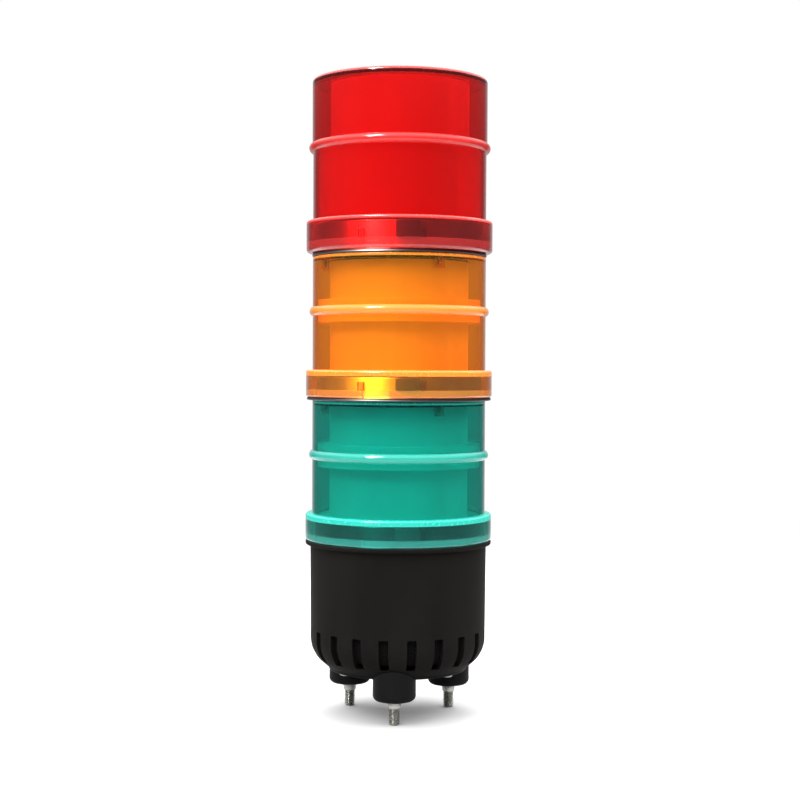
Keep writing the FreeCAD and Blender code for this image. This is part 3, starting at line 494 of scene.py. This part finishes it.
def stud_tree():
    """Cuts a thread into a turned stud and sets copies of it on a circle."""
    tree, given = new_tree("Threaded Studs", RING_SOCKETS + (
        ("Pitch", "Float"), ("Depth", "Float"), ("Thread Low", "Float"),
        ("Thread High", "Float")))
    low, high, pitch = given["Thread Low"], given["Thread High"], given["Pitch"]
    x, y, z, radius, wave = around_axis(tree, pitch)
    wave = ramp(tree, wave, 0.06, 0.44, smooth=False)  # flat crests and roots
    begin = ramp(tree, z, low, calc(tree, "ADD", low, pitch))
    end = ramp(tree, z, calc(tree, "SUBTRACT", high, pitch), high, 1.0, 0.0)
    cut = calc(tree, "MULTIPLY", calc(tree, "MULTIPLY", wave, given["Depth"]),
               calc(tree, "MULTIPLY", begin, end))
    threaded = cut_in(tree, given["Geometry"], x, y, z, radius, cut)
    copies = node(tree, "GeometryNodeInstanceOnPoints",
                  {"Points": ring_points(tree, given), "Instance": threaded})
    close_tree(tree, given, copies.outputs[0])
    return tree


def screw_tree():
    """Cuts thread and cross recess into a turned screw and sets copies of it on a circle, each
    turned by its own amount."""
    tree, given = new_tree("Screws On A Circle", RING_SOCKETS + (
        ("Recess", "Object"), ("Tilt", "Float"), ("Pitch", "Float"), ("Depth", "Float"),
        ("Shank Radius", "Float"), ("Length", "Float"), ("Seed", "Int")))
    x, y, z, radius, wave = around_axis(tree, given["Pitch"])
    low = calc(tree, "SUBTRACT", 0.0, given["Length"])
    begin = ramp(tree, z, low, calc(tree, "ADD", low, given["Pitch"]))
    end = ramp(tree, z, -0.9 * MM, -0.5 * MM, 1.0, 0.0)
    on_shank = calc(tree, "LESS_THAN", radius,
                    calc(tree, "MULTIPLY", given["Shank Radius"], 1.01))
    cut = calc(tree, "MULTIPLY",
               calc(tree, "MULTIPLY", calc(tree, "MULTIPLY", wave, 2.0), given["Depth"]),
               calc(tree, "MULTIPLY", calc(tree, "MULTIPLY", begin, end), on_shank))
    threaded = cut_in(tree, given["Geometry"], x, y, z, radius, cut)
    blades = node(tree, "GeometryNodeObjectInfo", {"Object": given["Recess"]})
    recessed = node(tree, "GeometryNodeMeshBoolean",
                    {0: threaded, 1: blades.outputs["Geometry"]}, operation="DIFFERENCE")
    own_turn = node(tree, "FunctionNodeRandomValue", {2: 0.0, 3: math.pi, "Seed": given["Seed"]},
                    data_type="FLOAT").outputs[1]
    spin = node(tree, "ShaderNodeCombineXYZ", {0: given["Tilt"], 2: own_turn}).outputs[0]
    copies = node(tree, "GeometryNodeInstanceOnPoints", {
        "Points": ring_points(tree, given), "Instance": recessed.outputs[0], "Rotation": spin})
    close_tree(tree, given, copies.outputs[0])
    return tree


# ---- sizes and colours a user may change ---------------------------------------------------
def colour_property(name, description, default):
    """Colour that a user may change."""
    return FloatVectorProperty(name=name, description=description, default=default, size=4,
                               min=0.0, max=1.0, subtype="COLOR")


class StackLightLensSettings(bpy.types.PropertyGroup):
    """Tints and clearness of the three lenses."""
    green: colour_property("Green Tint", "Tint of the green skin", (0.1, 0.84, 0.73, 1.0))
    green_depth: colour_property(
        "Green Depth", "What thick green plastic lets through", (0.3, 0.62, 0.6, 1.0))
    green_rim: colour_property(
        "Green Rim", "Green of the textured lip, ledge, bead and top edge", (0.02, 0.6, 0.48, 1.0))
    amber: colour_property("Amber Tint", "Tint of the amber skin", (1.0, 0.82, 0.16, 1.0))
    amber_depth: colour_property(
        "Amber Depth", "What thick amber plastic lets through", (0.97, 0.45, 0.25, 1.0))
    amber_rim: colour_property(
        "Amber Rim", "Amber of the textured lip, ledge, bead and top edge", (1.0, 0.36, 0.03, 1.0))
    red: colour_property("Red Tint", "Tint of the red skin", (1.0, 0.085, 0.085, 1.0))
    red_depth: colour_property(
        "Red Depth", "What thick red plastic lets through", (0.8, 0.4, 0.4, 1.0))
    red_rim: colour_property(
        "Red Rim", "Red of the textured lip, ledge, bead and top edge", (0.95, 0.06, 0.05, 1.0))
    density: FloatProperty(
        name="Depth Density", description="How fast thick plastic deepens, for each metre",
        default=400.0, min=0.0)
    roughness: FloatProperty(
        name="Rim Roughness", description="Least roughness of the textured rims", default=0.15,
        min=0.0, max=1.0)
    haze: FloatProperty(
        name="Wall Haze", description="Share of light that the wall scatters", default=0.03,
        min=0.0, max=1.0, subtype="FACTOR")
    rim_haze: FloatProperty(
        name="Rim Haze", description="Share of light that the textured ledge scatters",
        default=0.65, min=0.0, max=1.0, subtype="FACTOR")


class StackLightPlasticSettings(bpy.types.PropertyGroup):
    """Colours of the opaque pieces."""
    housing: colour_property("Housing", "Black of the base housing", (0.0056, 0.005, 0.0043, 1.0))
    cover: colour_property(
        "Cover", "Black of the bottom cover and its bosses", (0.0034, 0.0036, 0.0039, 1.0))
    neck: colour_property(
        "Neck Ring", "Metallised wall of the tiers' neck rings", (0.2, 0.2, 0.19, 1.0))
    base_neck: colour_property(
        "Base Neck Ring", "Darker wall of the base's neck ring", (0.012, 0.012, 0.012, 1.0))
    lug: colour_property("Lugs", "Black of the bayonet lugs", (0.008, 0.008, 0.008, 1.0))
    screen: colour_property(
        "Vent Screen", "Black of the woven mesh behind the vents", (0.003, 0.003, 0.003, 1.0))
    rubber: colour_property(
        "Rubber", "Black of the gaskets and the bushing", (0.006, 0.006, 0.006, 1.0))
    diffuser: colour_property("Diffuser", "White of the frosted sleeves", (0.9, 0.9, 0.88, 1.0))
    carrier: colour_property("Carrier", "White of the lamp carriers", (0.82, 0.82, 0.8, 1.0))


class StackLightMetalSettings(bpy.types.PropertyGroup):
    """Sizes and colours of studs, screws and contacts."""
    zinc: colour_property("Zinc", "Colour of the zinc plate", (0.36, 0.36, 0.33, 1.0))
    brass: colour_property("Brass", "Colour of the contacts", (0.8, 0.56, 0.22, 1.0))
    roughness: FloatProperty(
        name="Plate Roughness", description="Roughness of the zinc plate", default=0.24,
        min=0.0, max=1.0)
    stud_pitch: FloatProperty(
        name="Stud Pitch", description="Pitch of the studs' thread", default=0.0008, min=0.0001,
        unit="LENGTH")
    stud_depth: FloatProperty(
        name="Stud Thread Depth", description="Depth of the studs' thread", default=0.00043,
        min=0.0, unit="LENGTH")
    screw_pitch: FloatProperty(
        name="Screw Pitch", description="Pitch of the screws' thread", default=0.0009, min=0.0001,
        unit="LENGTH")
    screw_depth: FloatProperty(
        name="Screw Thread Depth", description="Depth of the screws' thread", default=0.0003,
        min=0.0, unit="LENGTH")


class StackLightLampSettings(bpy.types.PropertyGroup):
    """Colours of the lamps, the boards and what stands on the control board."""
    lamp: colour_property("Lamp", "Colour of a lamp's package", (0.86, 0.84, 0.7, 1.0))
    board: colour_property("Board", "Colour of the solder mask", (0.01, 0.13, 0.05, 1.0))
    copper: colour_property("Copper", "Colour of the tracks' edges", (0.03, 0.2, 0.09, 1.0))
    buzzer: colour_property("Buzzer", "Black of the buzzer's case", (0.015, 0.015, 0.015, 1.0))
    terminal: colour_property(
        "Terminal Block", "Green of the terminal block", (0.02, 0.2, 0.07, 1.0))
    component: colour_property(
        "Components", "Black of the control board's components", (0.02, 0.02, 0.024, 1.0))


class StackLightStageSettings(bpy.types.PropertyGroup):
    """Camera, floor and lights."""
    floor: colour_property("Floor", "Colour of the floor", (0.42, 0.42, 0.42, 1.0))
    eye_height: FloatProperty(
        name="Eye Height", description="Height of the camera above the studs' shoulders",
        default=0.154, unit="LENGTH")
    distance: FloatProperty(
        name="Distance", description="From the camera to the light's axis", default=0.74, min=0.1,
        unit="LENGTH")
    framed: FloatProperty(
        name="Framed Width", description="Width that the camera frames at the light's axis",
        default=0.3712, min=0.01, unit="LENGTH")
    aim_height: FloatProperty(
        name="Aim Height", description="Height that the camera looks at", default=0.1376,
        unit="LENGTH")
    aim_side: FloatProperty(
        name="Aim Side", description="How far to the right of the axis the camera looks",
        default=0.00056, unit="LENGTH")
    roll: FloatProperty(
        name="Roll", description="Camera's turn about its line of sight",
        default=math.radians(0.27), unit="ROTATION")
    sky: FloatProperty(
        name="Overhead Light", description="Strength of the light from above", default=4.9,
        min=0.0)
    sky_gloss: FloatProperty(
        name="Overhead Gloss", description="Share of the light from above that shows as gloss",
        default=0.4, min=0.0, max=1.0, subtype="FACTOR")
    front: FloatProperty(
        name="Front Light", description="Strength of the light from behind the camera",
        default=0.02, min=0.0)
    walls: FloatProperty(
        name="Side Light", description="Strength of the light from the room's side walls",
        default=0.07, min=0.0)
    backdrop: FloatProperty(
        name="Backdrop", description="Brightness of the backdrop seen through the lenses",
        default=0.56, min=0.0)
    gloss: FloatProperty(
        name="Gloss", description="Brightness of the two windows that polished faces mirror",
        default=55.0, min=0.0)
    ring_light: FloatProperty(
        name="Ring Light", description="Power of the light that the neck rings mirror",
        default=1500.0, min=0.0, unit="POWER")
    softbox: FloatProperty(
        name="Softbox", description="Power of the softbox at the front left", default=4.0,
        min=0.0, unit="POWER")


# ---- turned pieces -------------------------------------------------------------------------
def stud_body(tip, head, flare_r):
    """Stud from its tip up to its head: a rounded point, a shank in fine rows where its thread
    is cut, and a shoulder that flares out to a bevelled rim."""
    shank_r, shoulder_r = 2.5 * MM, 3.0 * MM
    flare_low, flare_high, bevel = 1.3 * MM, 3.2 * MM, 0.3 * MM
    outline = [(0.0, tip), (1.1 * MM, tip), (1.75 * MM, tip + 0.02 * MM)]
    outline += [(shank_r - 0.55 * MM * (1 - t), tip + 0.08 * MM + 0.5 * MM * t)
                for t in spread(0.0, 1.0, 6)]
    outline += [(shank_r, z) for z in spread(tip + 0.66 * MM, -0.02 * MM, 76)]
    outline += [(shoulder_r - 0.15 * MM, 0.0), (shoulder_r, 0.15 * MM), (shoulder_r, 0.6 * MM)]
    outline += [(shoulder_r + (flare_r - shoulder_r) * t ** 1.5,
                 flare_low + (flare_high - flare_low) * t) for t in spread(0.0, 1.0, 10)]
    outline += [(flare_r, head - bevel), (flare_r - bevel, head), (0.0, head)]
    return lathe(outline, 48)


def screw_body(shank_r, length, head_r, head_h):
    """Pan-head screw, seat at z = 0 and head upwards, with fine rows where its thread is cut."""
    outline = [(0.0, -length), (shank_r * 0.45, -length)]
    outline += [(shank_r, z) for z in spread(-length + shank_r * 0.6, -0.5 * MM, 44)]
    outline += [(shank_r, 0.0), (head_r * 0.96, 0.0), (head_r, head_h * 0.06),
                (head_r, head_h * 0.35)]
    outline += [(head_r * math.cos(a) ** 0.7, head_h * (0.35 + 0.65 * math.sin(a)))
                for a in spread(0.12, math.pi / 2 - 0.25, 6)]
    outline.append((0.0, head_h))
    return lathe(outline, 28)


def cross_cutter(head_r, head_h):
    """Two tapered blades for the cross recess."""
    foot = (head_h * 0.3, 0.22 * head_r, 0.11 * head_r)  # height, half length and half width
    top = (head_h * 1.2, 0.62 * head_r, 0.19 * head_r)
    shape = bmesh.new()
    for turn in (0.0, math.pi / 2):
        turned = Matrix.Rotation(turn, 3, "Z")
        under, over = ([shape.verts.new(turned @ Vector((x * long, y * wide, z)))
                        for x, y in ((-1, -1), (1, -1), (1, 1), (-1, 1))]
                       for z, long, wide in (foot, top))
        shape.faces.new(under[::-1])
        shape.faces.new(over)
        for i in range(4):
            j = (i + 1) % 4
            shape.faces.new((under[i], under[j], over[j], over[i]))
    return shape


# ---- pieces --------------------------------------------------------------------------------
class STACKLIGHT_OT_lenses(bpy.types.Operator):
    """Gives the three lenses their clear tinted plastic"""
    bl_idname = "stack_light.lenses"
    bl_label = "Lenses"

    def execute(self, context):
        given = context.scene.stack_light_lenses
        for tier in TIERS:
            low, high = (corner.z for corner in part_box(f"{tier}_lens"))
            assign(tinted_plastic(tier, given, low, high), f"{tier}_lens")
        return {"FINISHED"}


class STACKLIGHT_OT_diffusers(bpy.types.Operator):
    """Gives the diffusers and lamp carriers their white plastics"""
    bl_idname = "stack_light.diffusers"
    bl_label = "Diffusers and Carriers"

    def execute(self, context):
        given = context.scene.stack_light_plastics
        # Middles of the bands painted whiter on the diffusers (painted glow), level with the beads
        bands = [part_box(f"{t}_lens")[0].z + MODULE["bead"] for t in ("green", "amber")]
        assign(frosted_white("diffuser_frosted", given.diffuser, bands),
               *(f"{t}_diffuser" for t in TIERS))
        assign(moulded_plastic("carrier_white", given.carrier, roughness=0.45, specular=0.4),
               *(f"{t}_lamp_carrier" for t in TIERS))
        return {"FINISHED"}


class STACKLIGHT_OT_necks(bpy.types.Operator):
    """Gives the neck rings their metallised walls, and the gaskets and the bushing their rubber"""
    bl_idname = "stack_light.necks"
    bl_label = "Neck Rings and Gaskets"

    def execute(self, context):
        given = context.scene.stack_light_plastics
        assign(metallised_ring("neck_metallised", given.neck, given.lug),
               "green_neck_ring", "amber_neck_ring")
        assign(metallised_ring("base_neck_metallised", given.base_neck, given.lug),
               "base_neck_ring")
        assign(soft_rubber("gasket_rubber", given.rubber),
               "base_gasket", "green_gasket", "amber_gasket", "cable_bushing")
        return {"FINISHED"}


class STACKLIGHT_OT_housing(bpy.types.Operator):
    """Gives the base housing, the bottom cover and the vent screen their blacks"""
    bl_idname = "stack_light.housing"
    bl_label = "Housing and Cover"

    def execute(self, context):
        given = context.scene.stack_light_plastics
        assign(moulded_plastic("housing_black", given.housing, roughness=0.6, specular=0.04),
               "base_housing")
        assign(moulded_plastic("cover_black", given.cover, roughness=0.5, specular=0.06,
                               grain=0.0005), "bottom_cover")
        assign(woven_mesh("screen_mesh", given.screen), "vent_screen")
        return {"FINISHED"}


class STACKLIGHT_OT_studs(bpy.types.Operator):
    """Makes the three plated studs with their flared shoulders and threads"""
    bl_idname = "stack_light.studs"
    bl_label = "Studs"

    def execute(self, context):
        given = context.scene.stack_light_metals
        low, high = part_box("stud_front")
        studs = new_object("studs", stud_body(low.z, high.z, (high.x - low.x) / 2))
        circle, turn = circle_of_box("stud_front")
        settle(studs, stud_tree(), {
            "Count": PER_CIRCLE, "Circle Radius": circle, "Turn": turn, "Height": 0.0,
            "Pitch": given.stud_pitch, "Depth": given.stud_depth,
            "Thread Low": low.z, "Thread High": -0.15 * MM,
            "Material": plated_steel("stud_zinc", given.zinc, given.roughness),
        }, "base", ("stud_front", "stud_right", "stud_left"), crease=40.0)
        return {"FINISHED"}


class STACKLIGHT_OT_screws(bpy.types.Operator):
    """Makes the cross-recess screws of the cover, the control board and the neck rings"""
    bl_idname = "stack_light.screws"
    bl_label = "Screws"

    def execute(self, context):
        given = context.scene.stack_light_metals
        tree = screw_tree()
        zinc = plated_steel("screw_zinc", given.zinc, given.roughness + 0.06)
        for name, body, sizes, from_below, seed in SCREWS:
            shank_r, length, head_r, head_h = sizes
            low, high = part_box(name)
            seat = low.z + head_h if from_below else high.z - head_h
            blades = new_object(f"{name}_blades", cross_cutter(head_r, head_h))
            screws = new_object(f"{name}_made", screw_body(shank_r, length, head_r, head_h))
            circle, turn = circle_of_group(name)
            settle(screws, tree, {
                "Count": PER_CIRCLE, "Circle Radius": circle, "Turn": turn, "Height": seat,
                "Recess": blades, "Tilt": math.pi if from_below else 0.0,
                "Pitch": given.screw_pitch, "Depth": given.screw_depth,
                "Shank Radius": shank_r, "Length": length, "Seed": seed, "Material": zinc,
            }, body, (name,), crease=30.0)
            bpy.data.objects.remove(blades)
        return {"FINISHED"}


class STACKLIGHT_OT_lamps(bpy.types.Operator):
    """Gives the lamp boards, lamps and contacts their finishes"""
    bl_idname = "stack_light.lamps"
    bl_label = "Lamps and Contacts"

    def execute(self, context):
        given = context.scene.stack_light_lamps
        assign(solder_mask("board_mask", given.board, given.copper),
               "control_board", *(f"{t}_lamp_boards" for t in TIERS))
        assign(moulded_plastic("lamp_package", given.lamp, roughness=0.25, specular=0.5,
                               grain=0.0008, depth=0.00001), *(f"{t}_leds" for t in TIERS))
        assign(rolled_brass("contact_brass", context.scene.stack_light_metals.brass),
               "buzzer_disc", "base_bus_bars", "green_bus_bars", "amber_bus_bars",
               "base_contact_pads", "green_contact_pads", "amber_contact_pads",
               *(f"{t}_contact_pins" for t in TIERS))
        return {"FINISHED"}


class STACKLIGHT_OT_electronics(bpy.types.Operator):
    """Gives the buzzer, the terminal block and the board's components their finishes"""
    bl_idname = "stack_light.electronics"
    bl_label = "Electronics"

    def execute(self, context):
        given = context.scene.stack_light_lamps
        assign(moulded_plastic("buzzer_black", given.buzzer, roughness=0.4, specular=0.5),
               "buzzer_case")
        assign(moulded_plastic("terminal_green", given.terminal, roughness=0.4, specular=0.5),
               "terminal_block")
        assign(moulded_plastic("component_black", given.component, roughness=0.35, specular=0.5,
                               grain=0.0006), "board_components")
        return {"FINISHED"}


# ---- stage ---------------------------------------------------------------------------------
def toward(azimuth, elevation):
    """Direction from the column to the room, both angles in degrees, the azimuth from the
    camera's side."""
    turn, lift = math.radians(azimuth), math.radians(elevation)
    return Vector((math.sin(turn) * math.cos(lift), -math.cos(turn) * math.cos(lift),
                   math.sin(lift)))


class STACKLIGHT_OT_stage(bpy.types.Operator):
    """Sets up the floor, the studio light and the camera"""
    bl_idname = "stack_light.stage"
    bl_label = "Stage"

    def execute(self, context):
        given = context.scene.stack_light_stage
        self.floor(given)
        self.room(context.scene, given)
        self.lamp("softbox", SOFTBOX_PLACE, given.softbox)
        self.ring_light(given)
        self.camera(context.scene, given)
        context.scene.view_settings.view_transform = "Standard"
        return {"FINISHED"}

    def floor(self, given):
        """Pale round floor that fades out towards its edge and is clear from below."""
        shape = bmesh.new()
        bmesh.ops.create_circle(shape, cap_ends=True, segments=96, radius=FLOOR_R)
        bmesh.ops.translate(shape, verts=shape.verts, vec=(0.0, 0.0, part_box("stud_front")[0].z))
        made = new_object("floor", shape)
        material, tree, shader, out = new_material("floor_paper")
        place = node(tree, "ShaderNodeTexCoord").outputs["Object"]
        fibre = noise(tree, place, 900.0)
        paper = mixed(tree, fibre, shaded(given.floor, 0.985), shaded(given.floor, 1.01))
        feed(tree, shader, Base_Color=paper, Roughness=0.85, Specular_IOR_Level=0.1)
        distance = node(tree, "ShaderNodeVectorMath", {0: place}, operation="LENGTH")
        gone = ramp(tree, distance.outputs["Value"], FLOOR_R * 0.5, FLOOR_R - 0.02)
        below = node(tree, "ShaderNodeNewGeometry").outputs["Backfacing"]
        clear = node(tree, "ShaderNodeBsdfTransparent")
        fade = node(tree, "ShaderNodeMixShader", {
            0: calc(tree, "MAXIMUM", gone, below), 1: shader.outputs[0], 2: clear.outputs[0]})
        tree.links.new(fade.outputs[0], out.inputs["Surface"])
        made.data.materials.append(material)

    def room(self, scene, given):
        """Light from above that falls off towards the room's level, two windows, and a white
        backdrop."""
        world = bpy.data.worlds.new("studio")
        world.use_nodes = True
        tree = world.node_tree
        tree.nodes.clear()
        place = node(tree, "ShaderNodeTexCoord").outputs["Generated"]
        _, back, up = node(tree, "ShaderNodeSeparateXYZ", {0: place}).outputs
        ray = node(tree, "ShaderNodeLightPath").outputs
        glossy, refracted = ray["Is Glossy Ray"], ray["Is Transmission Ray"]
        # back runs from -1 behind the camera to 1 behind the column, and up from -1 to 1
        walls = ramp(tree, back, -0.8, -0.35, given.front, given.walls)
        sky = calc(tree, "MULTIPLY", ramp(tree, up, 0.1, 0.7, 0.0, given.sky),
                   ramp(tree, glossy, 0.0, 1.0, 1.0, given.sky_gloss))
        # Clear plastic and faces seen at a slant show the backdrop
        through = calc(tree, "MULTIPLY", refracted, ramp(tree, back, -0.1, 0.15))
        grazing = calc(tree, "MULTIPLY", glossy, ramp(tree, back, 0.8, 0.98))
        level = node(tree, "ShaderNodeMix", {
            0: calc(tree, "MAXIMUM", through, grazing), 2: calc(tree, "ADD", walls, sky),
            3: given.backdrop}, data_type="FLOAT").outputs[0]
        # Only faces that mirror the room show the windows, so nothing behind a lens lights up
        mirrored = calc(tree, "MAXIMUM", calc(tree, "SUBTRACT", glossy, refracted), 0.0)
        for azimuth, elevation, half in WINDOWS:
            window = self.window(tree, place, toward(azimuth, elevation), half, given.gloss)
            level = calc(tree, "ADD", level, calc(tree, "MULTIPLY", window, mirrored))
        level = calc(tree, "MAXIMUM", level, ray["Is Camera Ray"])
        light = node(tree, "ShaderNodeBackground",
                     {"Color": (1.0, 1.0, 1.0, 1.0), "Strength": level})
        node(tree, "ShaderNodeOutputWorld", {"Surface": light.outputs[0]})
        scene.world = world

    def window(self, tree, place, middle, half, strength):
        """Round window of light in the studio, half its angle in degrees, with a soft edge."""
        facing = node(tree, "ShaderNodeVectorMath", {0: place, 1: middle},
                      operation="DOT_PRODUCT").outputs["Value"]
        half = math.radians(half)
        return ramp(tree, facing, math.cos(half * 1.2), math.cos(half * 0.9), 0.0, strength)

    def ring_light(self, given):
        """Light at the front left that only the neck rings mirror, through the clear collars."""
        rings = bpy.data.collections.new("rings")
        for name in ("base_neck_ring", "green_neck_ring", "amber_neck_ring"):
            rings.objects.link(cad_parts[name])
        made = self.lamp("ring_light", RING_LIGHT_PLACE, given.ring_light)
        made.visible_diffuse = False
        made.light_linking.receiver_collection = rings

    def lamp(self, name, place, power):
        """Square light that faces the middle of the column."""
        azimuth, elevation, distance, side = place
        data = bpy.data.lights.new(name, "AREA")
        data.size = side
        data.energy = power
        made = bpy.data.objects.new(name, data)
        bpy.context.scene.collection.objects.link(made)
        away = toward(azimuth, elevation)
        made.location = Vector((0.0, 0.0, COLUMN_MIDDLE)) + away * distance
        made.rotation_euler = (-away).to_track_quat("-Z", "Y").to_euler()
        return made

    def camera(self, scene, given):
        """Camera in front of the column, framing the asked width at the column's axis."""
        data = bpy.data.cameras.new("camera")
        data.sensor_width = SENSOR_MM
        data.lens = SENSOR_MM * given.distance / given.framed
        data.clip_start = 0.01
        camera = bpy.data.objects.new("camera", data)
        scene.collection.objects.link(camera)
        camera.location = (0.0, -given.distance, given.eye_height)
        look = Vector((given.aim_side, 0.0, given.aim_height)) - camera.location
        roll = Quaternion((0.0, 0.0, 1.0), given.roll)
        camera.rotation_euler = (look.to_track_quat("-Z", "Y") @ roll).to_euler()
        scene.camera = camera


class STACKLIGHT_PT_panel(bpy.types.Panel):
    """Pieces of the stack light, in the order they are made"""
    bl_idname = "STACKLIGHT_PT_panel"
    bl_label = "Stack Light"
    bl_space_type = "VIEW_3D"
    bl_region_type = "UI"
    bl_category = "Stack Light"

    def draw(self, context):
        for operator in OPERATORS:
            self.layout.operator(operator.bl_idname)


OPERATORS = (
    STACKLIGHT_OT_lenses, STACKLIGHT_OT_diffusers, STACKLIGHT_OT_necks, STACKLIGHT_OT_housing,
    STACKLIGHT_OT_studs, STACKLIGHT_OT_screws, STACKLIGHT_OT_lamps, STACKLIGHT_OT_electronics,
    STACKLIGHT_OT_stage,
)
SETTINGS = {
    "stack_light_lenses": StackLightLensSettings, "stack_light_plastics": StackLightPlasticSettings,
    "stack_light_metals": StackLightMetalSettings, "stack_light_lamps": StackLightLampSettings,
    "stack_light_stage": StackLightStageSettings,
}


def register():
    for kind in (*SETTINGS.values(), *OPERATORS, STACKLIGHT_PT_panel):
        bpy.utils.register_class(kind)
    for name, kind in SETTINGS.items():
        setattr(bpy.types.Scene, name, PointerProperty(type=kind))


def unregister():
    for name in SETTINGS:
        delattr(bpy.types.Scene, name)
    for kind in (STACKLIGHT_PT_panel, *reversed(OPERATORS), *SETTINGS.values()):
        bpy.utils.unregister_class(kind)


def main():
    """Makes every piece in order."""
    register()
    for operator in OPERATORS:
        group, name = operator.bl_idname.split(".")
        getattr(getattr(bpy.ops, group), name)()


if __name__ == "__main__":
    main()
